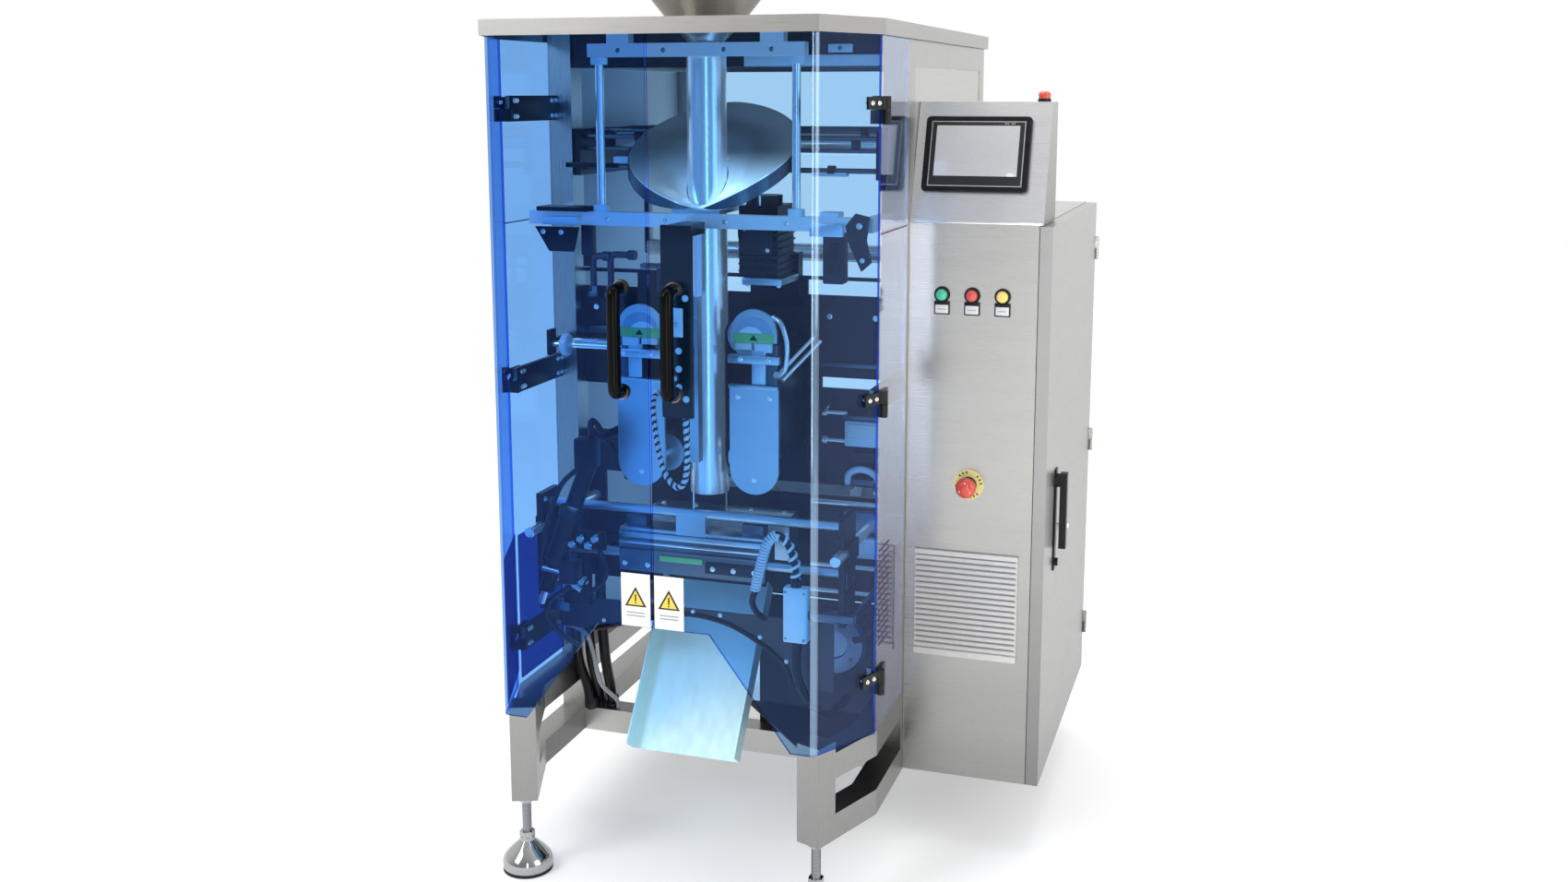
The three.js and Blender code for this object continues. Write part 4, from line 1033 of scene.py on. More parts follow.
def door_handle(side, body):
    """The D-shaped pull of one door, with rounded corners."""
    name = f"door_handle_{SIDES[side]}"
    low, high = mm(name)
    x = (low.x + high.x) / 2
    radius = 12
    out = low.y + radius + 0.6
    bottom, top = low.z + radius, high.z - radius
    corner = [(0, 0), (out * 0.55, 0), (out * 0.9, 3), (out, 16)]
    path = [(x, y, bottom + rise) for y, rise in corner]
    path.append((x, out, (bottom + top) / 2))
    path += [(x, y, top - rise) for y, rise in reversed(corner)]
    Shape().tube(path, radius, 28).done(f"{name}_bar", BLACK_GLOSS, body, [name])


def side_window_trim(side):
    """The seam between a window's sheets, the right one's vent slots, and the guard behind the lower one."""
    x = pair(SIDE_HALF + 0.2, SIDE_HALF + 0.7, side)
    shape = Shape()
    for k in range(15 if side > 0 else 0):
        z = 482 + k * 13
        shape.box(x, (190, 262), (z, z + 4.5))
    shape.box(x, (177, 376), (1250, 1252.5))
    shape.done(f"side_vents_{SIDES[side]}", VIOLET, "frame")
    guard = Shape().box(pair(365.5, 368, side), (184, 374), (332, 630), 0.4)
    guard.done(f"lower_guard_{SIDES[side]}", ACRYLIC_DEEP, "frame")


def hinge_guard():
    """Deep blue plate inside the right window, under the top hinge."""
    outline = [(192, 1326), (228, 1326), (242, 1438), (186, 1438)]
    Shape().prism(outline, 365.5, 368.2, "x").done("hinge_guard", ACRYLIC_EDGE, "frame")


# ---------------------------------------------------------------- upper machine

BAR_Y = 240
TUBE_Y = 296


def crossbar_fittings():
    """Clamps, gusset and hanging blocks at both ends of the crossbar, and the collar's clamps."""
    low, high = mm("crossbar")
    shape = Shape()
    shape.box((-306, -231), (204, 226.5), (low.z + 1, low.z + 17), 1.5, PALE)
    shape.box((-322, -214), (212, 264), (high.z + 0.3, high.z + 9), 1.5)
    shape.prism([(-317, 1246), (-226, 1246), (-238, 1199), (-288, 1199)], 196, 203, "y")
    shape.box((-236, -214), (228, 252), (1190, low.z - 0.3), 2, DARK_PLATE_AND_SHADE)
    shape.rod((-228, 240, 1168), (-228, 240, 1191), 9, 24)
    for x in (-300, -262, -238):
        shape.bolt((x, 212 if x == -238 else 196, 1236), FORWARD, 4.5, POLISHED)
    shape.box((246, 282), (222, 258), (high.z + 0.3, high.z + 10), 1.5, PALE)
    shape.box((229, 292), (214, 226.5), (low.z - 8, low.z + 16), 1.5, ALUMINIUM)
    shape.box((250, 290), (228, 262), (1152, low.z - 0.3), 3, DARK_PLATE_AND_SHADE)
    shape.box((256, 284), (222, 228.3), (1170, 1226), 2)
    lever = [(300, 1262), (318, 1284), (344, 1278), (338, 1236)]
    lever += [(348, 1196), (330, 1180), (318, 1206), (306, 1230)]
    shape.prism(lever, 204, 214, "y", DARK_PLATE_AND_SHADE)
    shape.bolt((326, 204, 1262), FORWARD, 5, POLISHED)
    shape.bolt((332, 204, 1200), FORWARD, 4, POLISHED)
    for x in (-180, -60, 60, 180):
        shape.bolt((x, low.y, 1261), FORWARD, 4, POLISHED)
    for x in (-196, 196):
        clamp = [(8.3, 0), (16, 0), (16, 13), (8.3, 13), (8.3, 0)]
        shape.lathe((x, BAR_Y, high.z + 0.3), UP, clamp, 32, PALE)
        shape.lathe((x, BAR_Y, 1551), UP, clamp, 32, PALE)
    shape.done("crossbar_fittings", BLACK, "frame")


def upper_pads():
    """Light pads on the upper beams and the bolts of the upper bar."""
    beam = mm("upper_cross_beam")
    shape = Shape()
    for x in ((-269, -195), (-122, -81), (60, 128), (214, 262)):
        shape.box(x, (beam[0].y - 5, beam[0].y - 0.3), (1574, 1590), 1.2)
        shape.bolt((sum(x) / 2, beam[0].y - 5, 1582), FORWARD, 4, CHROME)
    for x in (-152, 152, -60, 60):
        shape.bolt((x, 228, 1577), FORWARD, 4, CHROME)
    shape.box((44, 322), (beam[0].y - 2, beam[0].y - 0.3), (1549, 1570), 0.5)
    shape.done("upper_pads", PALE, "frame")


def film_rods():
    """Thin tie rods between the roller plates, with their collars and a clip."""
    inner = 308
    rods = [(410, 1412, 5), (410, 1388, 4), (410, 1350, 5), (455, 1424, 5)]
    rods += [(455, 1346, 4), (640, 1424, 5), (880, 1420, 5)]
    shape = Shape()
    for y, z, radius in rods:
        shape.rod((-inner, y, z), (inner, y, z), radius, 20)
    for x, y, z in ((262, 410, 1400), (268, 455, 1424), (-190, 410, 1412), (214, 410, 1350)):
        shape.rod((x - 7, y, z), (x + 7, y, z), 10, 24, DARK_PLATE_AND_SHADE)
    shape.box((176, 246), (402, 420), (1339, 1347), 1, PALE)
    shape.done("film_rods", DARK_STEEL_AND_SHADE, "frame")


def edge_sensor():
    """The film's edge sensor on its bent arm."""
    shape = Shape()
    shape.box((-212, -156), (332, 352), (1362, 1375), 1.5, PALE)
    for x, y in (((-320, -206), (340, 350)), ((-320, -310), (340, 390))):
        shape.box(x, y, (1352, 1361.5), 1)
    shape.rod((-176, 342, 1375), (-176, 342, 1392), 6, 20)
    shape.done("edge_sensor", BLACK, "frame")


COLLAR_LOW = 1284
COLLAR_FOOT = (1274.3, 1282)
FLANGE_DROP = 26


def collar_sheet(angle, share):
    """A point of the shoulder: share 0 on the tube, 1 on the rim, with wings at the sides and a high back."""
    back = (1 - math.cos(angle)) / 2
    wing = abs(math.sin(angle)) ** 1.4
    radius = 40 + (8 + 105 * back + 62 * wing) * share
    foot, rim = 95 * back, 195 * back - 5 * wing
    bulge = 10 * share * (1 - share)
    height = COLLAR_LOW + foot + (rim - foot) * share + bulge
    return Vector((math.sin(angle) * radius, TUBE_Y - math.cos(angle) * radius, height))


def collar_flange(side):
    """Sections of the flange that hangs under the rim, from its front round to the wing."""
    for degrees in range(14, 96, 3):
        angle = math.radians(degrees) * side
        rim = collar_sheet(angle, 1)
        out = Vector((math.sin(angle), -math.cos(angle), 0)) * 1.8
        drop = Vector((0, 0, -FLANGE_DROP * min(1, (degrees - 12) / 40)))
        yield [rim, rim + out, rim + out + drop, rim + drop]


def forming_collar():
    """The folding shoulder as one smooth thin sheet, on its sleeve, foot and back post."""
    steps = 10
    thickness = Vector((0, 0, 2.2))
    sections = []
    for angle in turn_angles(96):
        under = [collar_sheet(angle, j / steps) for j in range(steps + 1)]
        sections.append(under + [point + thickness for point in reversed(under)])
    shape = Shape()
    shape.skin(sections, loop=True)
    # Painted shade: the flange under the rim gets the dark steel.
    for side in SIDES:
        shape.loft(collar_flange(side), DARK_STEEL_AND_SHADE)
    sleeve = [(39.6, 0), (46, 0), (46, 16), (39.6, 16), (39.6, 0)]
    shape.lathe((0, TUBE_Y, COLLAR_FOOT[0]), UP, sleeve, 64, PALE)
    shape.plate((-48, 48), (232, 254), COLLAR_FOOT, [], ALUMINIUM)
    for side in SIDES:
        shape.box(pair(40.5, 48, side), (254, 344), COLLAR_FOOT, 0.5, ALUMINIUM)
    shape.box((-40, 40), (339, 343), (COLLAR_FOOT[0], 1376), 1, DARK_STEEL_AND_SHADE)
    for x in (-36, 36):
        shape.bolt((x, 243, COLLAR_FOOT[1]), UP, 4.5, POLISHED)
    shape.done("forming_collar_sheet", COLLAR, "frame", ["forming_collar"], "chrome", smooth=60)


def motor_details():
    """Ribs, terminal box, knob and pin of the belt motor, with its flange."""
    shape = Shape()
    for k in range(8):
        z = 1160 + k * 14
        shape.box((60.5, 143.5), (298.5, 401.5), (z, z + 4), 1)
    shape.box((70, 132), (286, 299), (1196, 1252), 3)
    shape.bolt((78, 286, 1244), FORWARD, 3.5, POLISHED)
    shape.bolt((124, 286, 1204), FORWARD, 3.5, POLISHED)
    shape.rod((76, 330, 1287), (76, 330, 1299), 9, 24)
    shape.rod((99, 316, 1287), (99, 316, 1305), 2.2, 12, POLISHED)
    shape.box((70, 150), (292, 408), (1136, 1149.5), 1.5, ALUMINIUM)
    for x in (78, 142):
        shape.bolt((x, 300, 1136), (0, 0, -1), 4.5, POLISHED)
    cable = [(62, 360, 1240), (46, 372, 1248), (30, 396, 1230), (24, 424, 1190), (24, 426, 1145)]
    shape.tube(cable, 5, 12, CABLE)
    shape.done("belt_motor_details", DARK_PLATE_AND_SHADE, "frame")


def elbow_pipes():
    """Air pipes with elbows standing in front of the mounting plate's top."""
    front = 412
    shape = Shape()
    for x, top, reach in ((-297, 1168, -262), (-258, 1172, -206)):
        path = [(x, 1096), (x, 1130), (x, top - 12), (x + 4, top - 3), (x + 13, top)]
        path += [((x + reach) / 2, top), (reach, top)]
        shape.tube([(u, front, w) for u, w in path], 7, 16)
        shape.rod((x, front, 1094), (x, front, 1106), 10, 6, CHROME)
        shape.rod((reach - 12, front, top), (reach + 4, front, top), 10, 20)
        shape.box(around(x, 12), (404, PLATE_Y), (1084, 1094), 1.5, DARK_STEEL_AND_SHADE)
    shape.box((-190, -122), (404, 427), (1146, 1156), 1.5, DARK_STEEL_AND_SHADE)
    shape.rod((-150, front, 1100), (-150, front, 1146), 6, 16)
    shape.done("air_pipes", PIPE, "frame")


# ---------------------------------------------------------------- pull belts, tube and sealer

def mounting_plate():
    """The dark plate behind the tube, open where daylight shows through it."""
    low, high = mm("mounting_plate")
    windows = [
        ((-330, -206), (1104, 1134)), ((-120, 58), (1104, 1134)), ((160, 338), (1104, 1134)),
        ((-330, -214), (800, 900)), ((-286, -180), (632, 712)),
        ((190, 338), (918, 940)), ((-14, 338), (698, 720)),
    ]
    shape = Shape().plate((low.x, high.x), (low.y, high.y), (low.z, high.z), windows)
    for x in (-337, 337):
        for z in (520, 760, 980, 1120):
            shape.bolt((x, low.y, z), FORWARD, 5, POLISHED)
    for x, z in ((206, 1062), (300, 1062), (200, 880), (320, 880), (-300, 1060), (-180, 1040)):
        shape.bolt((x, low.y, z), FORWARD, 5, POLISHED)
    shape.box((176, 330), (424, low.y - 0.2), (962, 970), 0.5, DARK_STEEL_AND_SHADE)
    shape.box((-330, -190), (422, low.y - 0.2), (1006, 1020), 0.5, DARK_STEEL_AND_SHADE)
    shape.done("mounting_plate_windowed", DARK_PLATE_AND_SHADE, "frame", ["mounting_plate"])


def arch(centre, half, top, bottom, sides=20):
    """An outline with a round head and a flat foot."""
    angles = [math.pi * i / sides for i in range(sides + 1)]
    head = [(centre + half * math.cos(a), top - half + half * math.sin(a)) for a in angles]
    return [*head, (centre - half, bottom), (centre + half, bottom)]


def belt_cover(side):
    """One pull belt's guards: a round head with labels, a bracket, and the long lower plate."""
    name = SIDES[side]
    centre = 116 * side
    plate = (228, 236)
    shape = Shape()
    shape.prism(arch(centre, 46, 1099, 1036), *plate, "y")
    # Painted shade: the darker band inside the round head.
    shape.prism(arch(centre, 38, 1084, 1054), 227.2, 228, "y", COVER_SHADE_BAND)
    shape.prism(arch(centre - 6 * side, 30, 1066, 1054), 226.6, 227.2, "y", PALE)
    shape.prism([(centre - 8, 1040), (centre + 8, 1040), (centre, 1051)], 225.6, 226.2, "y", INK)
    for near, far, y, z, bevel, material in (
        (76, 156, (226.2, 228), (1035, 1054), 0.3, GREEN_LABEL),
        (80, 112, (226.2, 234), (1022, 1034.5), 0.3, LABEL),
        (118, 152, (226.2, 234), (1018, 1034.5), 0.3, PALE),
        (66, 168, (220, 236), (996, 1012), 1.5, None),
        (112, 140, (226, 236), (956, 1022), 1.5, None),
        (67, 165, (221, 237), (948, 955), 1, None),
        (132, 160, (236.3, PLATE_Y), (808, 1032), 2, DARK_STEEL_AND_SHADE),
    ):
        shape.box(pair(near, far, side), y, z, bevel, material)
    low, high = 742, 952
    lower = [(x, low + high - z) for x, z in arch(centre, 49, high, low)]
    shape.prism(lower, *plate, "y")
    for x, y, z in ((84, 228, 930), (148, 228, 930), (116, 228, 770), (92, 220, 1004), (148, 220, 1004)):
        shape.bolt((x * side, y, z), FORWARD, 4.2, POLISHED)
    shape.done(f"belt_guard_{name}", ALUMINIUM, "frame", [f"belt_cover_{name}"])


def belt_levers():
    """The bent pipe and two slanting rods at the right belt's guard."""
    shape = Shape()
    pipe = [(158, 215, 1088), (176, 208, 1078), (188, 204, 1050), (190, 204, 1020)]
    shape.tube([*pipe, (184, 208, 990), (170, 216, 978)], 4.5, 14)
    shape.rod((172, 222, 984), (212, 300, 1040), 4, 14)
    shape.rod((172, 232, 966), (220, 318, 1030), 4, 14)
    shape.rod((174, 216, 978), (162, 222, 978), 7, 16)
    shape.done("belt_levers", POLISHED, "frame")


def belt_adjuster():
    """The left belt's cross shaft with its hand knob."""
    shape = Shape()
    shape.rod((-338, 300, 1000), (-160.5, 300, 1000), 6, 20, POLISHED)
    shape.lathe(
        (-316, 300, 1000), (1, 0, 0),
        [(6.2, 0), (18, 0), (22, 3), (22, 15), (18, 18), (6.2, 18), (6.2, 0)], 28, PALE,
    )
    shape.box((-345, -336), (286, 314), (978, 1030), 2)
    shape.box((-345, -336), (314, PLATE_Y), (990, 1010), 1.5)
    shape.box((-290, -214), (290, 312), (1008, 1014), 1, POLISHED)
    shape.done("belt_adjuster", BLACK, "frame")


def sealer_details():
    """The sealer bracket's light element, bolts and cylinder."""
    front = 130
    shape = Shape()
    shape.box((-6, 14), (front - 5, front - 0.3), (1056, 1110), 1.5, PALE)
    shape.box((-22, -12), (front - 4, front - 0.3), (1020, 1120), 1, DARK_STEEL_AND_SHADE)
    for x, z in ((-18, 1128), (18, 1128), (4, 1030), (4, 996), (-18, 940), (18, 940), (4, 962)):
        shape.bolt((x, front, z), FORWARD, 5.5, PALE)
    shape.rod((16, front + 20, 960), (16, front + 20, 1100), 9, 24)
    shape.rod((16, front + 20, 1100), (16, front + 20, 1116), 6, 20, POLISHED)
    shape.box((8, 24), (front + 10.3, front + 30), (1020, 1032), 1, DARK_STEEL_AND_SHADE)
    shape.done("sealer_details", BLACK, "frame")


def bag_spreaders():
    """Two thin fingers that hang from the tube's foot."""
    shape = Shape()
    for x in (-36, 33):
        shape.box((x, x + 3), (295, 297), (665, 735))
        shape.box((x, x + 3), (292, 300), (724, 728))
    shape.done("bag_spreaders", POLISHED, "frame")


LEAD_ROUTE = (
    (-80, 227, 925), (-80, 214, 925), (-76, 194, 905), (-60, 172, 850), (-38, 152, 795),
    (-10, 144, 768), (10, 138, 782), (17, 135, 830), (15, 135, 890), (15, 135, 903.4),
)
LEAD_RADIUS = 6
WRAP_PITCH = 14
WRAP_RELIEF = 0.5


def sealer_lead():
    """The sealer's lead in its pale spiral wrap, from the left belt guard to the bracket."""
    path = smooth_path(LEAD_ROUTE, 24)
    steps = [(b - a).length for a, b in zip(path, path[1:])]
    travelled = [0.0, *accumulate(steps)]
    sides = 16
    rows = []
    for (point, side, up), travel in zip(framed(path), travelled):
        row = []
        for a in turn_angles(sides):
            wave = math.cos(a - 2 * math.pi * travel / WRAP_PITCH)
            radius = LEAD_RADIUS - WRAP_RELIEF + WRAP_RELIEF * wave
            row.append(point + (side * math.cos(a) + up * math.sin(a)) * radius)
        rows.append(row)
    shape = Shape()
    caps = 2
    for i, face in enumerate(shape.skin(rows)[caps:]):
        row, k = divmod(i, sides)
        turn = (k + 0.5) / sides - (travelled[row] + travelled[row + 1]) / 2 / WRAP_PITCH
        if math.cos(2 * math.pi * turn) > -0.25:
            shape.paint([face], WRAP)
    piece = shape.done("sealer_lead_wrapped", CABLE, "frame", ["sealer_lead"], smooth=60)
    line = [at(*point) for point in path]
    tuple(line[0])
    [tuple(point) for point in line]


# ---------------------------------------------------------------- jaws and the space under them

def front_jaw_plates():
    """Plates, grooves and bolts that move with the front jaw."""
    shape = Shape()
    for y, z, bevel, material in (
        ((192, 249), (660.3, 666), 1.2, ALUMINIUM),
        ((186.5, 189.7), (648, 658), 0.8, ALUMINIUM),
        ((185.5, 189.7), (636, 640), 0.6, POLISHED),
        ((186.5, 189.7), (622, 626), 0.6, None),
    ):
        shape.box((-149, 149), y, z, bevel, material)
    shape.box((-64, 24), (187.6, 189.7), (605, 616), 0.3, GREEN_LABEL)
    shape.box((30, 146), (186, 189.7), (590, 612), 1, DARK_PLATE_AND_SHADE)
    for x, y, z in ((-138, 189.7, 594), (-90, 189.7, 594), (46, 186, 600), (88, 186, 600), (130, 186, 600)):
        shape.bolt((x, y, z), FORWARD, 4.5, POLISHED)
    for x in (-120, 120):
        shape.box(around(x, 22), (206, 236), (666, 688), 2, DARK_STEEL_AND_SHADE)
        shape.bolt((x, 221, 688), UP, 5, POLISHED)
    for side in SIDES:
        for y, z in ((178, 536), (226, 536), (178, 712), (226, 712)):
            shape.bolt((302 * side, y, z), (-side, 0, 0), 4.5, POLISHED)
        shape.box(pair(314.3, 317, side), (172, 232), (590, 622), 0.6, DARK_STEEL_AND_SHADE)
    shape.done("front_jaw_plates", DARK_STEEL_AND_SHADE, "front_jaw")


def rear_jaw_plates():
    """The top plate, strip and bolts that move with the rear jaw."""
    shape = Shape()
    shape.box((-149, 149), (344, 400), (660.3, 668), 1.5, ALUMINIUM)
    shape.box((-148, 148), (340.8, 341.7), (628, 648), 0.3, POLISHED)
    for x in (-130, -60, 60, 130):
        shape.bolt((x, 372, 668), UP, 5, POLISHED)
    shape.done("rear_jaw_plates", DARK_STEEL_AND_SHADE, "rear_jaw")


CYLINDER_Y = 144
CYLINDER_LEAN = (0.33, 0, 0.94)


def left_cylinder():
    """The black cylinder that leans down the left side, with its collars, blocks and fittings."""
    shape = Shape()
    for top, foot, radius, sides, material in (
        ((-186, 810), (-222, 716), 17, 24, None),
        ((-222, 716), (-232, 690), 10, 24, POLISHED),
        ((-230, 694), (-262, 604), 21, 28, None),
        ((-262, 604), (-286, 540), 15, 24, None),
        ((-284, 546), (-296, 512), 8, 20, POLISHED),
    ):
        ends = [(x, CYLINDER_Y, z) for x, z in (top, foot)]
        shape.rod(*ends, radius, sides, material)
    for x, z, radius, half in ((-230, 700, 23, 8), (-262, 606, 23.5, 6)):
        collar = [(0, -half), (radius, -half), (radius, half), (0, half)]
        shape.lathe((x, CYLINDER_Y, z), CYLINDER_LEAN, collar, 28, DARK_PLATE_AND_SHADE)
    for x, z in ((-224, 640), (-206, 652), (-190, 640), (-176, 654), (-226, 556), (-204, 566)):
        shape.lathe((x, CYLINDER_Y, z), FORWARD, [(0, 0), (9, 0), (9, 12), (6, 16), (0, 16)], 20, CHROME)
    for x, y, z, bevel, material in (
        ((-214, -170), (128, 160), (792, 850), 4, None),
        ((-250, -216), (124, 164), (560, 604), 4, DARK_PLATE_AND_SHADE),
        ((-242, -186), (130, 158), (520, 548), 3, None),
        ((-246, -160), (144.5, 158), (628, 664), 3, None),
        ((-300, -236), (140, 156), (500, 522), 2, DARK_STEEL_AND_SHADE),
    ):
        shape.box(x, y, z, bevel, material)
    shape.rod((-250, 132, 576), (-206, 132, 548), 5, 16, POLISHED)
    shape.rod((-292, 132, 588), (-240, 132, 580), 5, 16, POLISHED)
    shape.rod((-192, 156, 836), (-192, PLATE_Y - 1, 836), 8, 20)
    shape.done("left_cylinder", BLACK, "frame")


def left_air_hoses():
    """Air hoses from the left cylinder's fittings to the plate behind it."""
    shape = Shape()
    high = [(-186, 150, 850), (-196, 170, 872), (-214, 230, 860), (-230, 320, 800)]
    shape.tube([*high, (-236, 400, 740), (-236, PLATE_Y - 1, 700)], 6)
    shape.tube([(-206, 132, 792), (-236, 120, 760), (-262, 118, 700), (-280, 124, 640), (-292, 132, 580)], 5)
    loop = [(-176, 140, 640), (-150, 122, 616), (-148, 120, 584), (-176, 128, 556), (-206, 136, 548)]
    shape.tube(loop, 4.5)
    shape.tube([(-226, 128, 556), (-262, 116, 530), (-272, 118, 490), (-250, 140, 450), (-246, 200, 410)], 5)
    shape.done("left_air_hoses", CABLE, "frame")


def floor_hoses():
    """Black hoses that go down behind the left of the chute into glands on the lower rail."""
    rail = mm("lower_cross_rail")[1].z + 0.2
    shape = Shape()
    upper = (
        ((-286, 330, 560), (-288, 330, 480), (-287, 332, 400)),
        ((-262, 340, 560), (-262, 340, 480), (-260, 342, 400)),
        ((-300, 336, 560), (-310, 334, 480), (-318, 334, 400)),
    )
    lower = (
        ((-288, 346, 320), (-294, 384, 252), (-298, 408, rail)),
        ((-260, 354, 320), (-265, 386, 252), (-268, 404, rail)),
        ((-316, 342, 320), (-310, 368, 252), (-307, 380, rail)),
    )
    gland = [(0, 0), (13.5, 0), (13.5, 8), (12.4, 11), (12.4, 22), (0, 22)]
    for start, stop in zip(upper, lower):
        shape.tube([*start, *stop], 11, 20)
        shape.lathe(stop[-1], UP, gland, 24, DARK_PLATE_AND_SHADE)
    pipe = [(-352, 318, 408), (-310, 314, 402), (-282, 312, 388), (-270, 314, 350), (-262, 330, 280)]
    shape.tube([*pipe, (-252, 386, 222), (-250, 392, rail)], 4.5, 14, GREY)
    shape.box((-322, -246), (320, 427.5), (556, 574), 2, DARK_PLATE_AND_SHADE)
    shape.done("floor_hoses", HOSE, "frame")


def control_box():
    """The pale box by the right jaw with its glands and bracket."""
    middle_y, face = 153, 138.6
    shape = Shape()
    shape.box((202, 248), (140, 166), (488, 594), 3)
    shape.box((205, 245), (face, 140.4), (492, 590), 1)
    shape.rod((224, middle_y, 594), (224, middle_y, 606), 10, 24, BLACK)
    shape.rod((226, middle_y, 476), (226, middle_y, 488), 10, 24, BLACK)
    shape.box((248, 336), (148, 158), (534, 548), 1, DARK_STEEL_AND_SHADE)
    shape.box((328, 338), (158, 377.7), (534, 548), 1, DARK_STEEL_AND_SHADE)
    for x in (207, 243):
        for z in (496, 586):
            shape.bolt((x, face, z), FORWARD, 2.4, CHROME)
    shape.done("control_box", PALE, "frame")


def control_cable():
    """The box's cable in a spiral wrap that is loose on the way up and close on the way down."""
    up = [(224, 153, 606), (222, 150, 640), (208, 146, 678), (190, 144, 694)]
    down = [up[-1], (172, 142, 676), (158, 142, 630), (146, 144, 580)]
    shape = Shape()
    shape.tube([*up, *down[1:]], 6, 14, CABLE)
    shape.tube(spiral(up, 8.5, 17), 3.0, 8)
    shape.tube(spiral(down, 8.0, 6), 2.6, 8)
    shape.done("control_cable", WRAP, "frame")


def control_hose():
    """The hose under the box, and the short end of the wrapped cable."""
    shape = Shape()
    lower = [(226, 153, 476), (224, 154, 440), (230, 160, 400), (246, 190, 350)]
    shape.tube([*lower, (258, 250, 310), (262, 330, 300), (262, 377, 296)], 9, 18)
    shape.tube([(146, 146, 580), (138, 152, 556), (140, 170, 530), (150, 188, 512)], 6, 14)
    shape.done("control_hose", HOSE, "frame")


def right_blocks():
    """Bearing blocks and rods on the plate's right, beside the jaws."""
    shape = Shape()
    for x, y, z, bevel, material in (
        ((250, 330), (384, PLATE_Y), (812, 862), 2.5, None),
        ((256, 324), (378, 384.2), (830, 858), 1.2, LABEL),
        ((244, 336), (392, PLATE_Y), (864, 872), 1, DARK_STEEL_AND_SHADE),
        ((262, 316), (386, PLATE_Y), (780, 800), 2, DARK_PLATE_AND_SHADE),
        ((250, 336), (380, PLATE_Y), (640, 680), 2.5, BLUE_STEEL),
        ((250, 330), (376, PLATE_Y), (588, 628), 2.5, None),
        ((256, 324), (372, 376.2), (596, 620), 1, None),
        ((240, 264), (394, PLATE_Y), (722, 732), 1.5, DARK_STEEL_AND_SHADE),
        ((306, 330), (394, PLATE_Y), (722, 732), 1.5, DARK_STEEL_AND_SHADE),
        ((262, 308), (394, PLATE_Y), (732, 744), 2, DARK_STEEL_AND_SHADE),
    ):
        shape.box(x, y, z, bevel, material)
    rod_y = 404
    for start, end, radius, sides, heights in (
        (206, 250, 4, 16, (818, 874)),
        (200, 210, 8, 20, (818, 874)),
        (176, 344, 5, 16, (506, 560, 690)),
    ):
        for z in heights:
            shape.rod((start, rod_y, z), (end, rod_y, z), radius, sides, POLISHED)
    arc = [(252, rod_y, 724), (256, 396, 752), (274, 392, 764)]
    arc += [(294, 392, 764), (312, 396, 752), (318, rod_y, 724)]
    shape.tube(arc, 7, 16)
    shape.done("right_blocks", PALE, "frame")


def right_air_hoses():
    """Two air hoses that loop between the blocks on the right."""
    shape = Shape()
    shape.tube([(214, 400, 900), (190, 380, 860), (176, 372, 800), (184, 384, 752), (200, 420, 730)], 5)
    shape.tube([(330, 400, 610), (348, 360, 570), (344, 330, 500), (320, 330, 450), (286, 340, 430)], 6)
    shape.done("right_air_hoses", CABLE, "frame")


def chute_guard():
    """The arched guard over the chute, with a black bead along its edge and its bolts; its near-black sheet
    is partly painted shade under the jaws.
    """
    right = [(56, 493), (98, 479), (137, 458), (165, 440), (190, 415), (205, 376)]
    edge = [(-222, 448), (-190, 454), (-150, 466), (-98, 480), (-56, 493), (0, 500), *right]
    outline = [(-284, 512), (-284, 448), *edge, (284, 376), (284, 512)]
    front = 199
    shape = Shape()
    shape.prism(outline, front, front + 3, "y")
    shape.tube([(x, front, z) for x, z in edge], 5, 12, BLACK)
    for x, z in ((-190, 468), (-137, 482), (-56, 505), (0, 506), (56, 505), (137, 470), (190, 427)):
        shape.bolt((x, front, z), FORWARD, 3.8, PALE)
    shape.done("chute_guard", GUARD_SHADE, "frame")


def lower_sheets():
    """The dark sheet low on the right, which is painted shade standing in for the dark space there, and the
    tray under the blower.
    """
    shape = Shape()
    shape.box((60, 322.4), (420, 427), (200.4, 479), 0.8)
    shape.prism([(44, 376), (344, 376), (344, 186), (216, 186)], 261, 264)
    shape.done("lower_sheets", DARK_PLATE_AND_SHADE, "frame")


def blower():
    """A round fan housing with bolts on its face."""
    x, z = 236, 410
    housing = [(0, 0), (62, 0), (66, 6), (66, 50), (60, 58), (30, 60), (28, 54), (0, 54)]
    shape = Shape().lathe((x, 419, z), FORWARD, housing, 56)
    for k in range(6):
        a = math.radians(60 * k + 20)
        shape.bolt((x + 46 * math.cos(a), 360, z + 46 * math.sin(a)), FORWARD, 4.5, DARK_STEEL_AND_SHADE)
    shape.done("blower", BLUE_STEEL, "frame")


# ---------------------------------------------------------------- turned parts

def hopper():
    """The thin spun funnel, open at the mouth, down into the forming tube."""
    low, high = mm("hopper")
    mouth = (high.x - low.x) / 2
    throat, neck, wall = 67, 34.5, 2.4
    neck_top = 1592
    plate = mm("top_plate")[1].z
    rim = high.z - 20
    thick = wall * (mouth - throat) / (rim - plate)
    outline = [
        (neck, low.z), (neck, neck_top), (throat, plate), (mouth - 1, rim), (mouth - 0.5, high.z - 2),
        (mouth, high.z - 1), (mouth - 1.2, high.z), (mouth - wall, high.z),
        (mouth - wall - 1, rim + thick), (throat - wall, plate + thick),
        (neck - wall, neck_top + wall), (neck - wall, low.z), (neck, low.z),
    ]
    shape = Shape().lathe((0, TUBE_Y, 0), UP, outline, 128)
    shape.done("hopper_funnel", HOPPER, "frame", ["hopper"], smooth=30)


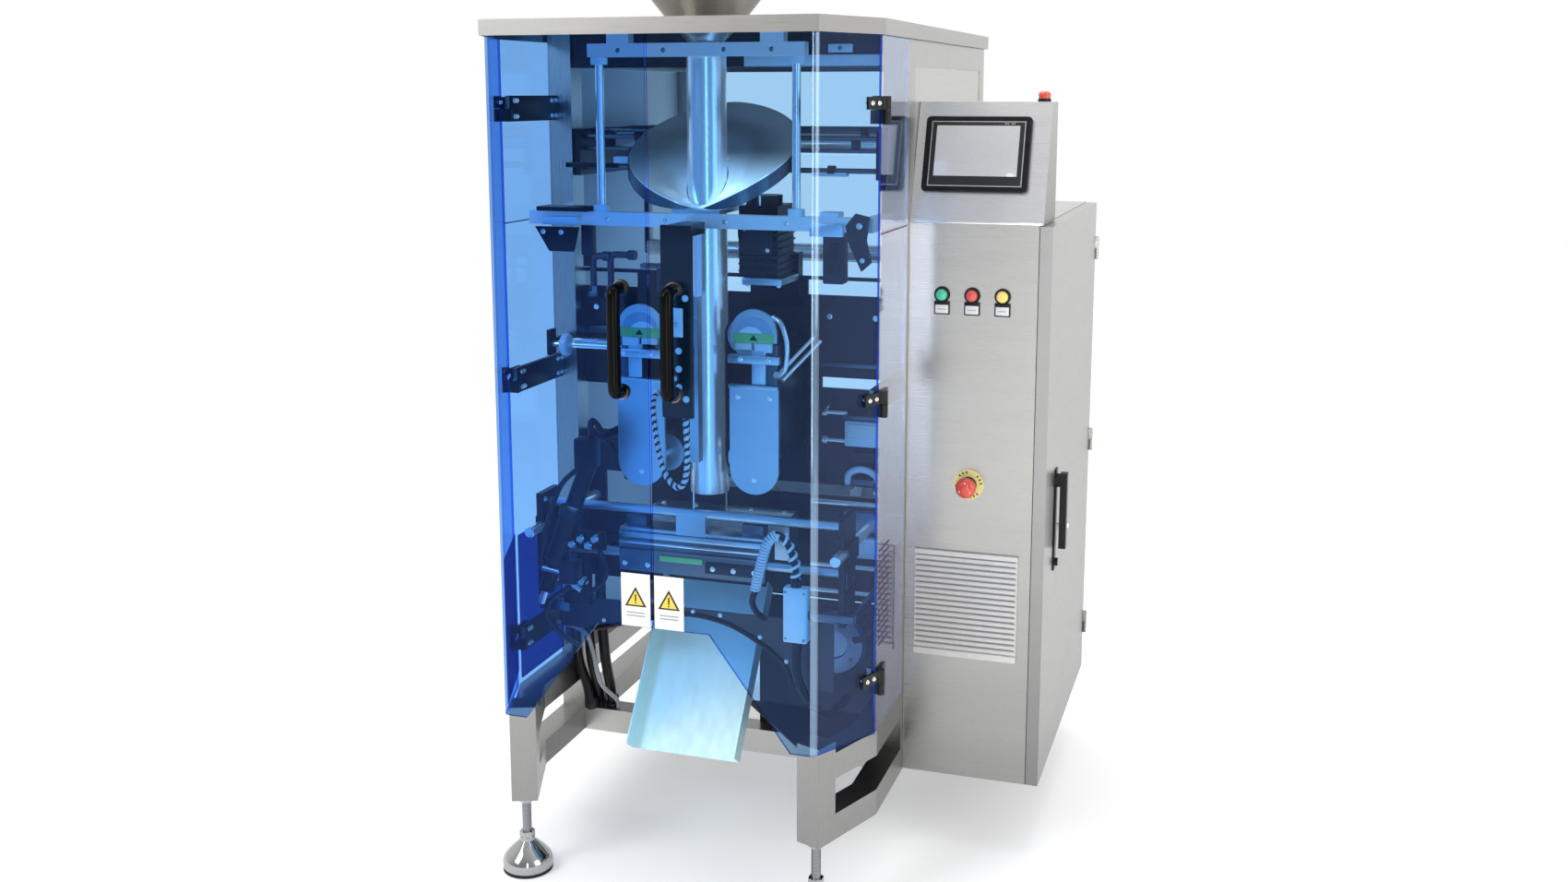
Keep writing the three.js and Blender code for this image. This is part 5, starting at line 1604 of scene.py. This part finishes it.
def film_roll():
    """The wound film between hubs on its spindle, with the wraps showing at both ends."""
    low, high = mm("film_roll")
    centre = (low + high) / 2
    outer, reach, half = (high.z - low.z) / 2, high.x, 160
    wraps = 26
    end = [(40, -half)]
    for k in range(wraps):
        radius = 46 + (outer - 48) * k / wraps
        end += [(radius, -half + 0.8), (radius + 1.6, -half + 0.3 * (k % 3))]
    end.append((outer, -half + 2))
    other_end = [(radius, -height) for radius, height in reversed(end)]
    shape = Shape().lathe(centre, (1, 0, 0), end + other_end, 96)
    spindle = [(0, -reach), (13, -reach), (15, 2 - reach), (15, reach - 2), (13, reach), (0, reach)]
    shape.lathe(centre, (1, 0, 0), spindle, 40, STUD)
    hub = [(15.2, half + 0.4), (55, half + 0.4), (55, half + 10), (47, half + 24), (15.2, half + 24)]
    for side in SIDES:
        shape.lathe(centre, (side, 0, 0), hub, 48, GREY)
        for k in range(4):
            angle = math.radians(45 + 90 * k)
            place = centre + Vector(((half + 20) * side, 36 * math.cos(angle), 36 * math.sin(angle)))
            shape.bolt(place, (side, 0, 0), 5, STUD)
    shape.done("film_roll_wound", FILM, "film_roll", ["film_roll"], "film", smooth=20)


def turned_bar(shape, start, along, length, radius, material=None):
    """A round bar with chamfered ends."""
    outline = [(0, 0), (radius - 1, 0), (radius, 1), (radius, length - 1), (radius - 1, length), (0, length)]
    shape.lathe(start, along, outline, 48, material)


def forming_pipe():
    """The forming tube, turned smooth and open at both ends."""
    low, high = mm("forming_tube")
    outer, wall = high.x, 2.8
    inner = outer - wall
    ring = [(outer, low.z), (outer, high.z - 1), (outer - 1, high.z), (inner, high.z), (inner, low.z)]
    shape = Shape().lathe((0, TUBE_Y, 0), UP, [*ring, ring[0]], 96)
    shape.done("forming_pipe", TUBE, "frame", ["forming_tube"])


def guide_rod(name, axis):
    """A guide rod, turned smooth along its axis: 1 is y and 2 is z."""
    low, high = mm(name)
    start = (low + high) / 2
    start[axis] = low[axis]
    along = Vector((0, 0, 0))
    along[axis] = 1
    shape = Shape()
    turned_bar(shape, start, along, high[axis] - low[axis], (high.x - low.x) / 2)
    shape.done(f"{name}_bar", POLISHED, "frame", [name])


def film_roller(name):
    """A roller on its thinner shaft."""
    low, high = mm(name)
    y, z = (low.y + high.y) / 2, (low.z + high.z) / 2
    length = high.x - low.x
    shape = Shape()
    turned_bar(shape, (low.x, y, z), (1, 0, 0), length, 8, STUD)
    turned_bar(shape, (low.x + 20, y, z), (1, 0, 0), length - 40, (high.z - low.z) / 2)
    shape.done(f"{name}_bar", POLISHED, name, [name])


def dancer():
    """The dancer's bar between its two arms, on the shaft that they swing about."""
    low, high = mm("dancer")
    y = (low.y + high.y) / 2
    pivot, bar, half = high.z - 14, low.z + 20, 290
    shape = Shape()
    turned_bar(shape, (low.x, y, pivot), (1, 0, 0), high.x - low.x, 8, STUD)
    turned_bar(shape, (-half, y, bar), (1, 0, 0), 2 * half, 20)
    for side in SIDES:
        shape.box(pair(285, 297, side), around(y, 12), (bar - 12, high.z), 2, DARK_STEEL_AND_SHADE)
    shape.done("dancer_bar", POLISHED, "dancer", ["dancer"])


def make_turned_parts():
    hopper()
    film_roll()
    forming_pipe()
    for name in SIDES.values():
        guide_rod(f"guide_rod_{name}", 2)
    for name in SIDES.values():
        guide_rod(f"jaw_guide_rod_{name}", 1)
    film_roller("front_film_roller")
    film_roller("rear_film_roller")
    dancer()


THREAD = [(8.0, 0), (8.9, 0.6), (8.9, 1.1), (8.0, 1.7), (8.0, 0)]
THREAD_PITCH = 2.4


def levelling_feet():
    """Smooth bell feet with a hexagon collar, a threaded stud and a jam nut."""
    sole = [(40, -0.3), (48, 0.2), (48, 5), (40, 5), (40, -0.3)]
    for name in ("front_foot_left", "front_foot_right", "rear_foot_left", "rear_foot_right"):
        low, high = mm(name)
        x, y = (low.x + high.x) / 2, (low.y + high.y) / 2
        top = high.z
        wide = (high.x - low.x) / 2 - 0.05
        bell = [(0, 0), (44, 0), (46, 1.5), (46.5, 5), (wide - 0.4, 8), (wide, 14), (wide - 0.4, 22)]
        bell += [(46, 28), (40, 36), (30, 46), (20, 55), (14.5, 60), (14, 66), (0, 66)]
        shape = Shape().lathe((x, y, 0), UP, bell, 64)
        shape.lathe((x, y, 0.3), UP, sole, 64, RUBBER)
        shape.rod((x, y, 64), (x, y, 78), 15, 6)
        shape.rod((x, y, 76), (x, y, top), 8.2, 28, STUD)
        for k in range(int((top - 82) / THREAD_PITCH)):
            shape.lathe((x, y, 80 + THREAD_PITCH * k), UP, THREAD, 28, STUD)
        shape.rod((x, y, 139), (x, y, 149.6), 14, 6)
        shape.done(f"{name}_bell", CHROME, "frame", [name], "chrome", smooth=40)


def make_interior():
    crossbar_fittings()
    upper_pads()
    film_rods()
    edge_sensor()
    forming_collar()
    motor_details()
    elbow_pipes()
    mounting_plate()
    belt_adjuster()
    belt_levers()
    sealer_details()
    bag_spreaders()
    front_jaw_plates()
    rear_jaw_plates()
    left_cylinder()
    left_air_hoses()
    floor_hoses()
    control_box()
    control_cable()
    control_hose()
    right_blocks()
    right_air_hoses()
    chute_guard()
    lower_sheets()
    blower()
    for side in SIDES:
        belt_cover(side)


# ---------------------------------------------------------------- assembly

make_camera()
sealer_lead()
make_studio()
paint_cad()
make_doors()
make_cabinet()
make_interior()
levelling_feet()
make_turned_parts()
